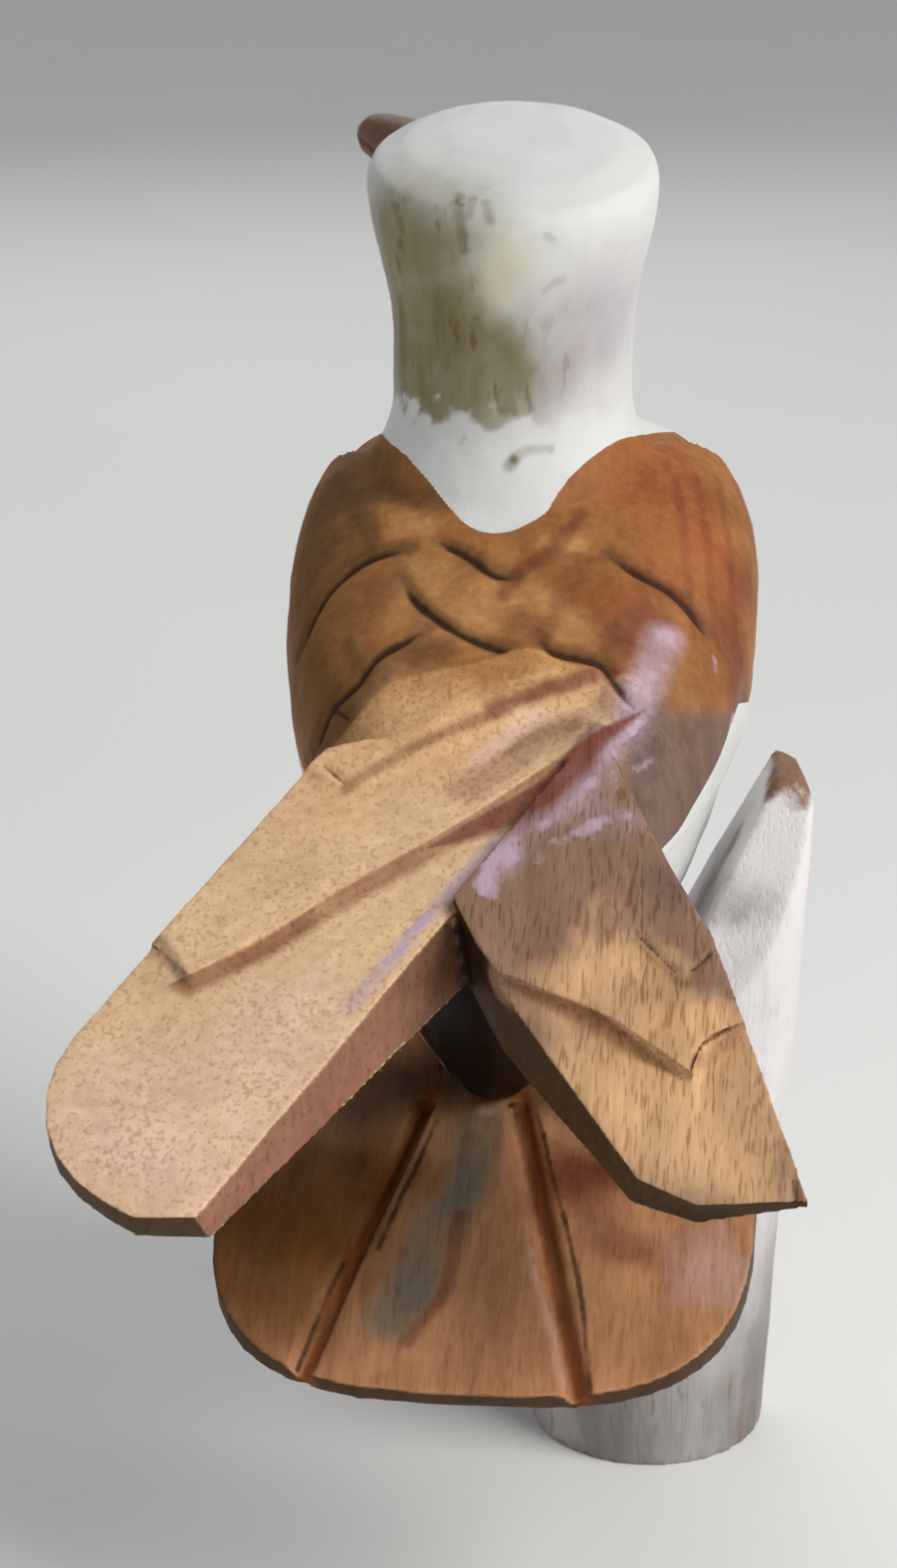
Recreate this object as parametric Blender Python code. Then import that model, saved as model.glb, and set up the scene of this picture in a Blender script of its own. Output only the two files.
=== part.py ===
"""A carved wooden seagull perched on a pair of pilings.

Metres, +Z up. The bird looks towards -Y with its tail towards +Y, and its left side is +X.
The origin lies on the ground under the bird.
"""
import math

import bmesh
import bpy
from mathutils import Matrix, Vector

OBJECT_NAME = "wooden_seagull_carving"

# Fits
GLUE_GAP = 0.0003

# Body: an egg along a sloping axis from the rump to the breast
BODY_X = -0.0025
RUMP_Y = 0.074
RUMP_Z = 0.088
BREAST_Y = -0.040
BREAST_Z = 0.162
BODY_HALF_WIDTH = 0.039
BACK_HEIGHT = 0.0275
BELLY_DEPTH = 0.036
WIDEST_SHARE = 0.70
SHOULDER_ROUNDNESS = 2.2
RUMP_ROUNDNESS = 3.0
LENGTHWISE_ROUNDNESS = 2.5

# Mantle: the brown layer of folded wings, raised above the white body
MANTLE_RISE = 0.0016
MANTLE_FRONT_Y = -0.040
MANTLE_WRIST_Z = 0.1435
MANTLE_WRIST_RADIUS = 0.012
MANTLE_EDGE_SLOPE = math.radians(13)
NAPE_POINT_Y = 0.013
NAPE_POINT_RADIUS = 0.009
NAPE_HALF_ANGLE = math.radians(42)

# Head block: neck and crown
NECK_Y = -0.012
NECK_SEAT_Z = 0.158
HEAD_HEIGHT = 0.0608
HEAD_TURN = math.radians(35)
NECK_BASE_WIDTH = 0.052
NECK_WIDTH = 0.0412
NECK_DEPTH = 0.041
CROWN_WIDTH = 0.0495
CROWN_DEPTH = 0.051
CROWN_FORWARD = 0.0005
CROWN_TILT = math.radians(12)
CROWN_EDGE_RADIUS = 0.0065
CROWN_DOME = 0.0015
CROWN_FLAT_SHARE = 0.55
NECK_FLARE_TOP = 0.018
NECK_TOP = 0.029
CROWN_WIDEST = 0.057

# Beak
BEAK_REACH = 0.027
BEAK_TENON = 0.008
BEAK_HEIGHT = 0.015
BEAK_WIDTH = 0.012
BEAK_BELOW_CROWN = 0.010
BEAK_HOOK = 0.003
BEAK_TIP_SHARE = 0.55
BEAK_TIP_START = 0.8
BEAK_TIP_BLUNTING = 0.8
BEAK_SECTION_ROUNDNESS = 2.4

# Eyes
EYE_RADIUS = 0.0028
EYE_BELOW_CROWN = 0.0115
EYE_INSET = 0.001
EYE_BEARING = math.radians(32)

# Back plane: the tops of both wings and of the back lie on it
BACK_SLOPE = math.radians(28)
WING_FORK_Y = 0.079
WING_FORK_Z = 0.121

# Left wing board, measured from a point on the back plane
LEFT_ROOT_X = 0.010
LEFT_ROOT_DOWN = -0.019
LEFT_SPLAY = math.radians(29)
LEFT_WIDTH = 0.034
LEFT_LENGTH = 0.088
LEFT_LAP = 0.038
LEFT_THICKNESS = 0.0165
LEFT_TIP_THICKNESS = 0.0065
LEFT_INNER_DRAFT = math.radians(18)
LEFT_OUTER_TIP_RADIUS = 0.022
LEFT_END_CORNER = 0.010
LEFT_END_BEVEL = math.radians(31)
LEFT_UNDER_LEAN = 0.0
LEFT_FIRST_TIER_START = -0.036
LEFT_FIRST_TIER_INNER = -0.012
LEFT_FIRST_TIER_END = 0.005
LEFT_FIRST_TIER_OUT = 0.009
LEFT_TIER_START = -0.022
LEFT_TIER_END = 0.0485
LEFT_TIER_OUT = 0.0085
LEFT_TIER_SAG = 0.0013
LEFT_PEGS = ((-0.012, 0.002), (-0.026, -0.010))

# Right wing board
RIGHT_ROOT_X = -0.016
RIGHT_ROOT_DOWN = 0.0
RIGHT_SPLAY = math.radians(-24.5)
RIGHT_WIDTH = 0.032
RIGHT_TIP_WIDTH = 0.020
RIGHT_LENGTH = 0.062
RIGHT_TIP_SKEW = math.radians(20)
RIGHT_END_CORNER = 0.005
RIGHT_END_BEVEL = math.radians(50)
RIGHT_TAPER_START = 0.016
RIGHT_LAP = 0.030
RIGHT_THICKNESS = 0.0125
RIGHT_TIP_THICKNESS = 0.0055
RIGHT_UNDER_LEAN = math.radians(9)
RIGHT_INNER_DRAFT = math.radians(8)
RIGHT_TIER_POINT = 0.040
RIGHT_TIER_OUT = 0.003
RIGHT_TIER_INNER = 0.012
RIGHT_TIER_OUTER = 0.034
RIGHT_TIER_MIDDLE_OUT = -0.004
RIGHT_TIER_NOTCH_OUT = 0.008
RIGHT_PEGS = ((-0.0175, 0.0122), (-0.013, 0.0062))

# Rough boards, before their undersides are thinned
BLANK_DEPTH = 0.030

# Wing tiers: the feather layer nearest the tip lies lower
FIRST_TIER_DEPTH = 0.0007
TIER_DEPTH = 0.0020
TIER_END_SLANT = 0.006

# Tail fan
TAIL_X = -0.003
TAIL_ROOT_Y = 0.062
TAIL_ROOT_Z = 0.0765
TAIL_SLOPE = math.radians(19)
TAIL_LENGTH = 0.0625
TAIL_LAP = 0.018
TAIL_ROOT_WIDTH = 0.036
TAIL_WIDTH = 0.085
TAIL_SHOULDER = 0.016
TAIL_ROUNDNESS = 3.1
TAIL_THICKNESS = 0.009
TAIL_EDGE_THICKNESS = 0.003
TAIL_GROOVE_DEPTH = 0.0022
TAIL_GROOVE_OVERRUN = 1.1
LEFT_GROOVE_ROOT = 0.011
LEFT_GROOVE_END = 0.0262
RIGHT_GROOVE_ROOT = -0.0027
RIGHT_GROOVE_END = -0.0165

# Pilings
MAIN_PILING_X = 0.0055
MAIN_PILING_Y = -0.003
MAIN_PILING_RADIUS = 0.022
PERCH_HEIGHT = 0.101
SIDE_PILING_RADIUS = 0.0207
SIDE_PILING_BEARING = math.radians(140)
SIDE_PILING_HEIGHT = 0.121
HEWN_SLOPE = math.radians(64)
HEWN_CREST = 0.0065
SHOULDER_SLOPE = math.radians(55)
SHOULDER_WIDTH = 0.004
NEAR_FACET_SLOPE = math.radians(62)
SIDE_PILING_LEAN = math.radians(2.6)

# Dowels and pegs
PERCH_DOWEL_RADIUS = 0.005
PERCH_DOWEL_DEPTH = 0.018
NECK_DOWEL_RADIUS = 0.004
NECK_DOWEL_DEPTH = 0.018
PEG_RADIUS = 0.0025
WING_PEG_DEPTH = 0.0065
TAIL_PEG_DEPTH = 0.012
TAIL_PEG_RUMP_DEPTH = 0.004
TAIL_PEG_SPACING = 0.018
PILING_DOWEL_RADIUS = 0.003
PILING_DOWEL_DEPTH = 0.013
PILING_DOWEL_HEIGHTS = (0.016, 0.040)

# Facets
RING_POINTS = 48
BODY_RINGS = 24
HEAD_RINGS = 24
ARC_POINTS = 7
POST_SIDES = 32
DOWEL_SIDES = 14
GROOVE_SIDES = 4
BEAK_STATIONS = 9
EYE_SEGMENTS = 16
EYE_RINGS = 10
SHARP_ANGLE = math.radians(40)
MERGE_DISTANCE = 1e-7
CUTTER_REACH = 0.20

X_AXIS = Vector((1, 0, 0))
Y_AXIS = Vector((0, 1, 0))
UP = Vector((0, 0, 1))


def clear_scene():
    for thing in list(bpy.data.objects):
        bpy.data.objects.remove(thing)


def new_collection(name):
    group = bpy.data.collections.new(name)
    bpy.context.scene.collection.children.link(group)
    return group


def wood(name, colour, roughness):
    finish = bpy.data.materials.new(name)
    finish.use_nodes = True
    shader = finish.node_tree.nodes["Principled BSDF"]
    shader.inputs["Base Color"].default_value = (*colour, 1)
    shader.inputs["Roughness"].default_value = roughness
    shader.inputs["Metallic"].default_value = 0
    return finish


def closed_mesh(name, mesh_builder):
    """A mesh with its doubles merged and its faces turned outwards."""
    bmesh.ops.remove_doubles(mesh_builder, verts=mesh_builder.verts, dist=MERGE_DISTANCE)
    bmesh.ops.recalc_face_normals(mesh_builder, faces=mesh_builder.faces)
    mesh = bpy.data.meshes.new(name)
    mesh_builder.to_mesh(mesh)
    mesh_builder.free()
    return mesh


def add_part(mesh, finish, parent):
    part = bpy.data.objects.new(mesh.name, mesh)
    part.parent = parent
    mesh.materials.append(finish)
    mesh.shade_smooth()
    mesh.set_sharp_from_angle(angle=SHARP_ANGLE)
    bpy.data.collections[OBJECT_NAME].objects.link(part)
    return part


def add_group(name, meshes, finish, parent):
    """Repeated pieces, each its own numbered part."""
    for number, mesh in enumerate(meshes, 1):
        mesh.name = f"{name}_{number}"
        add_part(mesh, finish, parent)


def add_cutter(mesh):
    cutter = bpy.data.objects.new(mesh.name, mesh)
    cutter.hide_render = True
    cutter.display_type = "WIRE"
    bpy.data.collections["cutters"].objects.link(cutter)
    return cutter


def combine(part, other, operation):
    step = part.modifiers.new(f"{operation.lower()} {other.name}", "BOOLEAN")
    step.operation = operation
    step.solver = "EXACT"
    step.object = other


def cut(part, mesh):
    combine(part, add_cutter(mesh), "DIFFERENCE")


def loft(name, rings):
    """A closed skin through rings of equally many points, with a fan at each end."""
    skin = bmesh.new()
    rows = [[skin.verts.new(point) for point in ring] for ring in rings]
    for near, far in zip(rows, rows[1:]):
        for i in range(len(near)):
            j = (i + 1) % len(near)
            skin.faces.new((near[i], near[j], far[j], far[i]))
    for row in (rows[0], rows[-1]):
        middle = sum((corner.co for corner in row), Vector()) / len(row)
        hub = skin.verts.new(middle)
        for i in range(len(row)):
            skin.faces.new((row[i], row[(i + 1) % len(row)], hub))
    return closed_mesh(name, skin)


def rod(name, start, end, radius, sides=DOWEL_SIDES):
    """A straight round (or few-sided) bar between two points."""
    along = end - start
    turn = along.to_track_quat("Z", "Y").to_matrix().to_4x4()
    bar = bmesh.new()
    bmesh.ops.create_cone(bar, cap_ends=True, segments=sides, radius1=radius, radius2=radius,
                          depth=along.length, matrix=Matrix.Translation((start + end) / 2) @ turn)
    return closed_mesh(name, bar)


def joined(name, meshes):
    """Separate solids kept together as one group."""
    group = bmesh.new()
    for mesh in meshes:
        group.from_mesh(mesh)
    return closed_mesh(name, group)


def half_space(name, point, normal):
    """A block that fills the side of a plane that its normal points to."""
    turn = normal.to_track_quat("Z", "Y").to_matrix().to_4x4()
    centre = point + normal.normalized() * CUTTER_REACH / 2
    block = bmesh.new()
    bmesh.ops.create_cube(block, size=CUTTER_REACH, matrix=Matrix.Translation(centre) @ turn)
    return closed_mesh(name, block)


def board(name, outline, bottom, top, frame):
    """A flat outline given in a frame's x and y, thickened along its z."""
    curve = bpy.data.curves.new(name, "CURVE")
    curve.dimensions = "2D"
    curve.fill_mode = "BOTH"
    curve.extrude = (top - bottom) / 2
    line = curve.splines.new("POLY")
    line.points.add(len(outline) - 1)
    for point, (x, y) in zip(line.points, outline):
        point.co = (x, y, 0, 1)
    line.use_cyclic_u = True
    drawn = bpy.data.objects.new(name, curve)
    bpy.context.scene.collection.objects.link(drawn)
    evaluated = drawn.evaluated_get(bpy.context.evaluated_depsgraph_get())
    flat = bpy.data.meshes.new_from_object(evaluated)
    bpy.data.objects.remove(drawn)
    solid = bmesh.new()
    solid.from_mesh(flat)
    bpy.data.meshes.remove(flat)
    bmesh.ops.translate(solid, vec=(0, 0, (top + bottom) / 2), verts=solid.verts)
    bmesh.ops.transform(solid, matrix=frame, verts=solid.verts)
    return closed_mesh(name, solid)


def trimmed(mesh, point, normal):
    """A solid cut off flat on the side of a plane that its normal points to."""
    shell = bmesh.new()
    shell.from_mesh(mesh)
    name = mesh.name
    bpy.data.meshes.remove(mesh)
    everything = shell.verts[:] + shell.edges[:] + shell.faces[:]
    halved = bmesh.ops.bisect_plane(shell, geom=everything, plane_co=point, plane_no=normal,
                                    clear_outer=True)
    rim = [edge for edge in halved["geom_cut"] if isinstance(edge, bmesh.types.BMEdge)]
    bmesh.ops.contextual_create(shell, geom=rim)
    return closed_mesh(name, shell)


def frame_at(origin, along, normal):
    """Placement with x along a direction, z along a normal and y across."""
    x = along.normalized()
    z = normal.normalized()
    y = z.cross(x)
    return Matrix.Translation(origin) @ Matrix((x, y, z)).transposed().to_4x4()


def arc(centre, radius, first, last):
    """Points of a round corner, in degrees."""
    turns = [math.radians(first + (last - first) * i / (ARC_POINTS - 1)) for i in range(ARC_POINTS)]
    return [(centre[0] + radius * math.cos(a), centre[1] + radius * math.sin(a)) for a in turns]


def grown(outline, margin):
    """A closed outline moved outwards by an even margin, with mitred corners."""
    corners = [Vector(point) for point in outline]
    count = len(corners)
    area = sum(corners[i - 1].cross(corners[i]) for i in range(count))
    outwards = math.copysign(margin, area)
    moved = []
    for i in range(count):
        before = (corners[i] - corners[i - 1]).normalized()
        after = (corners[(i + 1) % count] - corners[i]).normalized()
        bisector = Vector((before.y + after.y, -before.x - after.x))
        moved.append(corners[i] + bisector * outwards / (1 + before.dot(after)))
    return [tuple(corner) for corner in moved]


def rounded(share, power):
    """A superellipse: 0 at both ends of 0..1 and 1 in the middle."""
    return (1 - min(1, abs(2 * share - 1)) ** power) ** (1 / power)


def blend(low, high, share):
    share = min(1, max(0, share))
    return low + (high - low) * share * share * (3 - 2 * share)


def superellipse(angle, power):
    c = math.cos(angle)
    s = math.sin(angle)
    return (math.copysign(abs(c) ** (2 / power), c), math.copysign(abs(s) ** (2 / power), s))


# Body


def body_form(name, grow):
    """The egg of the body, swollen by an even layer."""
    rump = Vector((BODY_X, RUMP_Y, RUMP_Z))
    breast = Vector((BODY_X, BREAST_Y, BREAST_Z))
    axis = (breast - rump).normalized()
    above = X_AXIS.cross(axis)
    if above.z < 0:
        above = -above
    rump -= axis * grow
    breast += axis * grow
    skew = math.log(0.5) / math.log(WIDEST_SHARE)
    rings = []
    for i in range(1, BODY_RINGS):
        share = (1 - math.cos(math.pi * i / BODY_RINGS)) / 2
        swell = rounded(share, LENGTHWISE_ROUNDNESS)
        side_swell = rounded(share ** skew, LENGTHWISE_ROUNDNESS)
        centre = rump.lerp(breast, share)
        power = RUMP_ROUNDNESS + (SHOULDER_ROUNDNESS - RUMP_ROUNDNESS) * share
        ring = []
        for k in range(RING_POINTS):
            x, z = superellipse(2 * math.pi * k / RING_POINTS, power)
            height = (BACK_HEIGHT if z > 0 else BELLY_DEPTH) + grow
            across = X_AXIS * x * side_swell * (BODY_HALF_WIDTH + grow)
            ring.append(centre + across + above * z * swell * height)
        rings.append(ring)
    return loft(name, rings)


def mantle_side_outline():
    """Side view of the folded wing: a round wrist in front, then a straight edge down to the rump."""
    wrist = (MANTLE_FRONT_Y + MANTLE_WRIST_RADIUS, MANTLE_WRIST_Z)
    lowest = 270 - math.degrees(MANTLE_EDGE_SLOPE)
    outline = arc(wrist, MANTLE_WRIST_RADIUS, 180, lowest)
    end_y, end_z = outline[-1]
    run = CUTTER_REACH / 2
    outline.append((end_y + run, end_z - run * math.tan(MANTLE_EDGE_SLOPE)))
    outline.append((end_y + run, CUTTER_REACH))
    outline.append((MANTLE_FRONT_Y, CUTTER_REACH))
    return outline


def nape_outline():
    """Plan of the bare nape: a V with a round point towards the tail, open towards the head."""
    half = math.degrees(NAPE_HALF_ANGLE)
    point = arc((0, NAPE_POINT_Y - NAPE_POINT_RADIUS), NAPE_POINT_RADIUS, half, 180 - half)
    run = CUTTER_REACH / 2
    slope = math.tan(NAPE_HALF_ANGLE)
    left = (point[0][0] + run * slope, point[0][1] - run)
    right = (point[-1][0] - run * slope, point[-1][1] - run)
    return [left] + point + [right]


def build_body(finish, parent):
    body = add_part(body_form("body", 0), finish, parent)
    mantle = add_cutter(body_form("mantle", MANTLE_RISE))
    side_frame = frame_at(Vector(), Y_AXIS, X_AXIS)
    side = board("mantle_side", mantle_side_outline(), -CUTTER_REACH / 2, CUTTER_REACH / 2, side_frame)
    combine(mantle, add_cutter(side), "INTERSECT")
    cut(mantle, board("nape", nape_outline(), 0, CUTTER_REACH, Matrix()))
    combine(body, mantle, "UNION")
    cut(body, head_form("neck_socket", GLUE_GAP))
    cut(body, piling_rod("perch_socket", GLUE_GAP))
    for wing in (LEFT, RIGHT):
        cut(body, wing_blank(f"{wing['name']}_pocket", wing, GLUE_GAP))
        cut(body, joined(f"{wing['name']}_peg_holes", wing_pegs(wing, GLUE_GAP)))
    cut(body, tail_blank("tail_pocket", GLUE_GAP))
    cut(body, joined("tail_peg_holes", tail_pegs(GLUE_GAP)))
    cut(body, perch_dowel("perch_hole", GLUE_GAP))
    cut(body, neck_dowel("neck_hole", GLUE_GAP))
    return body


# Head, beak and eyes


def facing():
    return Vector((math.sin(HEAD_TURN), -math.cos(HEAD_TURN), 0))


def head_point(level, angle, grow):
    """A point of the head's skin, at a height above the seat and a bearing from the facing direction."""
    body_top = HEAD_HEIGHT - CROWN_EDGE_RADIUS
    width = blend(NECK_BASE_WIDTH, NECK_WIDTH, level / NECK_FLARE_TOP)
    depth = blend(NECK_BASE_WIDTH, NECK_DEPTH, level / NECK_FLARE_TOP)
    rise = (level - NECK_TOP) / (CROWN_WIDEST - NECK_TOP)
    width = blend(width, CROWN_WIDTH, rise)
    depth = blend(depth, CROWN_DEPTH, rise)
    forward = blend(0, CROWN_FORWARD, rise)
    inset = 0
    if level > body_top:
        climb = level - body_top
        inset = CROWN_EDGE_RADIUS - math.sqrt(max(0, CROWN_EDGE_RADIUS ** 2 - climb ** 2))
    ahead = forward + math.cos(angle) * (depth / 2 - inset + grow)
    across = math.sin(angle) * (width / 2 - inset + grow)
    tilt = blend(0, math.tan(CROWN_TILT), level / HEAD_HEIGHT)
    spread = facing() * ahead + UP.cross(facing()) * across
    return Vector((0, NECK_Y, NECK_SEAT_Z + level - tilt * spread.y)) + spread


def head_form(name, grow):
    """The head block, swollen by an even layer, its seat lowered by as much."""
    levels = [HEAD_HEIGHT * (i / HEAD_RINGS) for i in range(HEAD_RINGS + 1)]
    rings = []
    for level in levels:
        ring = [head_point(level, 2 * math.pi * k / RING_POINTS, grow) for k in range(RING_POINTS)]
        rings.append(ring)
    rings[0] = [point - UP * grow for point in rings[0]]
    crown = rings[-1]
    middle = sum(crown, Vector()) / len(crown)
    rings.append([middle + (point - middle) * CROWN_FLAT_SHARE + UP * CROWN_DOME for point in crown])
    return loft(name, rings)


def build_head(finish, parent):
    head = add_part(head_form("head", 0), finish, parent)
    cut(head, beak_form("beak_mortise", GLUE_GAP))
    for side in (1, -1):
        cut(head, eye_form(f"eye_socket_{side}", side, GLUE_GAP))
    cut(head, neck_dowel("head_hole", GLUE_GAP))
    return head


def beak_form(name, grow):
    """A stubby beak on a tenon, thick at the face, hooked and rounded at the tip."""
    face = CROWN_FORWARD + CROWN_DEPTH / 2
    side = UP.cross(facing())
    heading = (facing() + UP * math.tan(CROWN_TILT)).normalized()
    upright = side.cross(heading)
    if upright.z < 0:
        upright = -upright
    root = Vector((0, NECK_Y, NECK_SEAT_Z + HEAD_HEIGHT - BEAK_BELOW_CROWN)) + facing() * (face - BEAK_TENON)
    length = BEAK_TENON + BEAK_REACH
    rings = []
    for i in range(BEAK_STATIONS + 1):
        share = i / BEAK_STATIONS
        size = blend(1, BEAK_TIP_SHARE, share)
        past = max(0, share - BEAK_TIP_START) / (1 - BEAK_TIP_START)
        size *= math.sqrt(1 - past ** 2 * BEAK_TIP_BLUNTING)
        drop = BEAK_HOOK * share ** 3
        reach = share * length
        if i == 0:
            reach -= grow
        if i == BEAK_STATIONS:
            reach += grow
        centre = root + heading * reach - upright * drop
        ring = []
        for k in range(RING_POINTS // 2):
            x, z = superellipse(4 * math.pi * k / RING_POINTS, BEAK_SECTION_ROUNDNESS)
            across = side * x * (BEAK_WIDTH / 2 * size + grow)
            ring.append(centre + across + upright * z * (BEAK_HEIGHT / 2 * size + grow))
        rings.append(ring)
    return loft(name, rings)


def eye_form(name, side, grow):
    """A round bead, half let into the head."""
    centre = head_point(HEAD_HEIGHT - EYE_BELOW_CROWN, side * EYE_BEARING, -EYE_INSET)
    bead = bmesh.new()
    bmesh.ops.create_uvsphere(bead, u_segments=EYE_SEGMENTS, v_segments=EYE_RINGS,
                              radius=EYE_RADIUS + grow, matrix=Matrix.Translation(centre))
    return closed_mesh(name, bead)


# Wings

BACK_NORMAL = Vector((0, math.sin(BACK_SLOPE), math.cos(BACK_SLOPE)))
BACK_DOWN = Vector((0, math.cos(BACK_SLOPE), -math.sin(BACK_SLOPE)))
WING_FORK = Vector((0, WING_FORK_Y, WING_FORK_Z))


def left_outline():
    """Parallel board with an oblique root across the back, a round outer corner and a bevelled inner one."""
    half = LEFT_WIDTH / 2
    inner = half + LEFT_THICKNESS * math.tan(LEFT_INNER_DRAFT)
    tip = LEFT_LENGTH
    big = LEFT_OUTER_TIP_RADIUS
    bevel = (inner - LEFT_END_CORNER) * math.tan(LEFT_END_BEVEL)
    outline = [(0, half), (-LEFT_LAP, -half), (-LEFT_LAP, -inner)]
    outline += [(tip - bevel, -inner), (tip, -LEFT_END_CORNER)]
    outline += arc((tip - big, half - big), big, 0, 90)
    return outline


def left_first_tier():
    """The middle feather layer: below a line across the root that ends in a short cut to the edge."""
    far = LEFT_LENGTH + LEFT_WIDTH
    wide = LEFT_WIDTH
    return [(LEFT_FIRST_TIER_START, LEFT_FIRST_TIER_INNER), (LEFT_FIRST_TIER_END, LEFT_FIRST_TIER_OUT),
            (LEFT_FIRST_TIER_END, wide), (far, wide), (far, -wide), (LEFT_FIRST_TIER_START, -wide)]


def left_tier():
    """The lowest feather layer: below a sagging line from the inner edge out to a short end cut."""
    far = LEFT_LENGTH + LEFT_WIDTH
    wide = LEFT_WIDTH
    half = LEFT_WIDTH / 2
    middle = ((LEFT_TIER_START + LEFT_TIER_END) / 2, (LEFT_TIER_OUT - half) / 2 - LEFT_TIER_SAG)
    return [(LEFT_TIER_START, -half), middle, (LEFT_TIER_END, LEFT_TIER_OUT),
            (LEFT_TIER_END - TIER_END_SLANT, wide), (far, wide), (far, -wide), (LEFT_TIER_START, -wide)]


def right_outline():
    """Tapered board with its tip cut askew and the tip's inner corner bevelled."""
    half = RIGHT_WIDTH / 2
    spread = RIGHT_THICKNESS * math.tan(RIGHT_INNER_DRAFT)
    tip_half = RIGHT_TIP_WIDTH / 2
    skew = math.tan(RIGHT_TIP_SKEW)
    end_corner = (RIGHT_LENGTH - RIGHT_END_CORNER * skew, -RIGHT_END_CORNER)
    bevel = (tip_half + spread - RIGHT_END_CORNER) * math.tan(RIGHT_END_BEVEL)
    inner_tip = (end_corner[0] - bevel, -tip_half - spread)
    outer_tip = (RIGHT_LENGTH + tip_half * skew, tip_half)
    return [(-RIGHT_LAP, half), (-RIGHT_LAP, -half - spread), (RIGHT_TAPER_START, -half - spread),
            inner_tip, end_corner, outer_tip, (RIGHT_TAPER_START, half)]


def right_tier():
    """The lower feather layer: beyond a line that runs out to a pointed feather and back to the edge."""
    far = RIGHT_LENGTH + RIGHT_WIDTH
    wide = RIGHT_WIDTH
    middle = (RIGHT_TIER_INNER + RIGHT_TIER_POINT) / 2
    return [(RIGHT_TIER_INNER, -wide), (RIGHT_TIER_INNER, -RIGHT_WIDTH / 2), (middle, RIGHT_TIER_MIDDLE_OUT),
            (RIGHT_TIER_POINT, RIGHT_TIER_OUT), (RIGHT_TIER_OUTER, RIGHT_TIER_NOTCH_OUT),
            (RIGHT_TIER_OUTER, wide), (far, wide), (far, -wide)]


LEFT = {
    "name": "left_wing", "root": (LEFT_ROOT_X, LEFT_ROOT_DOWN), "splay": LEFT_SPLAY, "outer": -1,
    "outline": left_outline, "tier": left_tier, "length": LEFT_LENGTH, "pegs": LEFT_PEGS,
    "thickness": LEFT_THICKNESS, "tip_thickness": LEFT_TIP_THICKNESS,
    "inner_start": (0, -LEFT_WIDTH / 2), "inner_end": (LEFT_LENGTH, -LEFT_WIDTH / 2),
    "inner_draft": LEFT_INNER_DRAFT, "under_lean": LEFT_UNDER_LEAN,
}
RIGHT = {
    "name": "right_wing", "root": (RIGHT_ROOT_X, RIGHT_ROOT_DOWN), "splay": RIGHT_SPLAY, "outer": 1,
    "outline": right_outline, "tier": right_tier, "length": RIGHT_LENGTH, "pegs": RIGHT_PEGS,
    "thickness": RIGHT_THICKNESS, "tip_thickness": RIGHT_TIP_THICKNESS,
    "inner_start": (RIGHT_TAPER_START, -RIGHT_WIDTH / 2),
    "inner_end": (RIGHT_LENGTH - RIGHT_TIP_WIDTH / 2 * math.tan(RIGHT_TIP_SKEW), -RIGHT_TIP_WIDTH / 2),
    "inner_draft": RIGHT_INNER_DRAFT, "under_lean": RIGHT_UNDER_LEAN,
}


def board_frame(wing):
    """Board placement: x runs to the tip, z stands off the back plane."""
    x, down = wing["root"]
    origin = WING_FORK + X_AXIS * x + BACK_DOWN * down
    along = X_AXIS * math.sin(wing["splay"]) + BACK_DOWN * math.cos(wing["splay"])
    return frame_at(origin, along, BACK_NORMAL)


def to_board(wing, points):
    """Outline points measured outwards, turned to the board's own y."""
    return [(u, v * wing["outer"]) for u, v in points]


def wing_underside(wing):
    """A point of the underside and its downward normal: the board thins to its tip and its outer edge."""
    frame = board_frame(wing)
    slope = (wing["thickness"] - wing["tip_thickness"]) / wing["length"]
    across = math.tan(wing["under_lean"]) * wing["outer"]
    normal = frame.to_3x3() @ Vector((slope, across, -1)).normalized()
    return frame @ Vector((0, 0, -wing["thickness"])), normal


def wing_inner_side(wing):
    """A point of the sloping inner side and its normal, which looks at the other wing."""
    frame = board_frame(wing)
    (start, end) = to_board(wing, (wing["inner_start"], wing["inner_end"]))
    along = Vector((end[0] - start[0], end[1] - start[1], 0)).normalized()
    inwards = Vector((along.y, -along.x, 0)) * wing["outer"]
    draft = wing["inner_draft"]
    normal = inwards * math.cos(draft) + UP * math.sin(draft)
    return frame @ Vector((*start, 0)), frame.to_3x3() @ normal


def wing_blank(name, wing, grow):
    """The board with its outline, tapered underside and sloping inner side, before any feather is cut."""
    outline = to_board(wing, grown(wing["outline"](), grow))
    top = CUTTER_REACH / 4 if grow else 0
    blank = board(name, outline, -BLANK_DEPTH, top, board_frame(wing))
    for point, normal in (wing_underside(wing), wing_inner_side(wing)):
        blank = trimmed(blank, point + normal * grow, normal)
    if wing is RIGHT:
        point, normal = wing_inner_side(LEFT)
        blank = trimmed(blank, point + normal * (GLUE_GAP - grow), -normal)
    return blank


def wing_pegs(wing, grow):
    """Pegs square to the back plane, half in the board and half in the body."""
    frame = board_frame(wing)
    point, normal = wing_underside(wing)
    pegs = []
    for u, v in wing["pegs"]:
        top = frame @ Vector((u, v * wing["outer"], 0))
        depth = (point - top).dot(normal) / normal.dot(-BACK_NORMAL)
        seat = top - BACK_NORMAL * depth
        reach = BACK_NORMAL * (WING_PEG_DEPTH + grow)
        pegs.append(rod(f"{wing['name']}_peg", seat + reach, seat - reach, PEG_RADIUS + grow))
    return pegs


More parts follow.
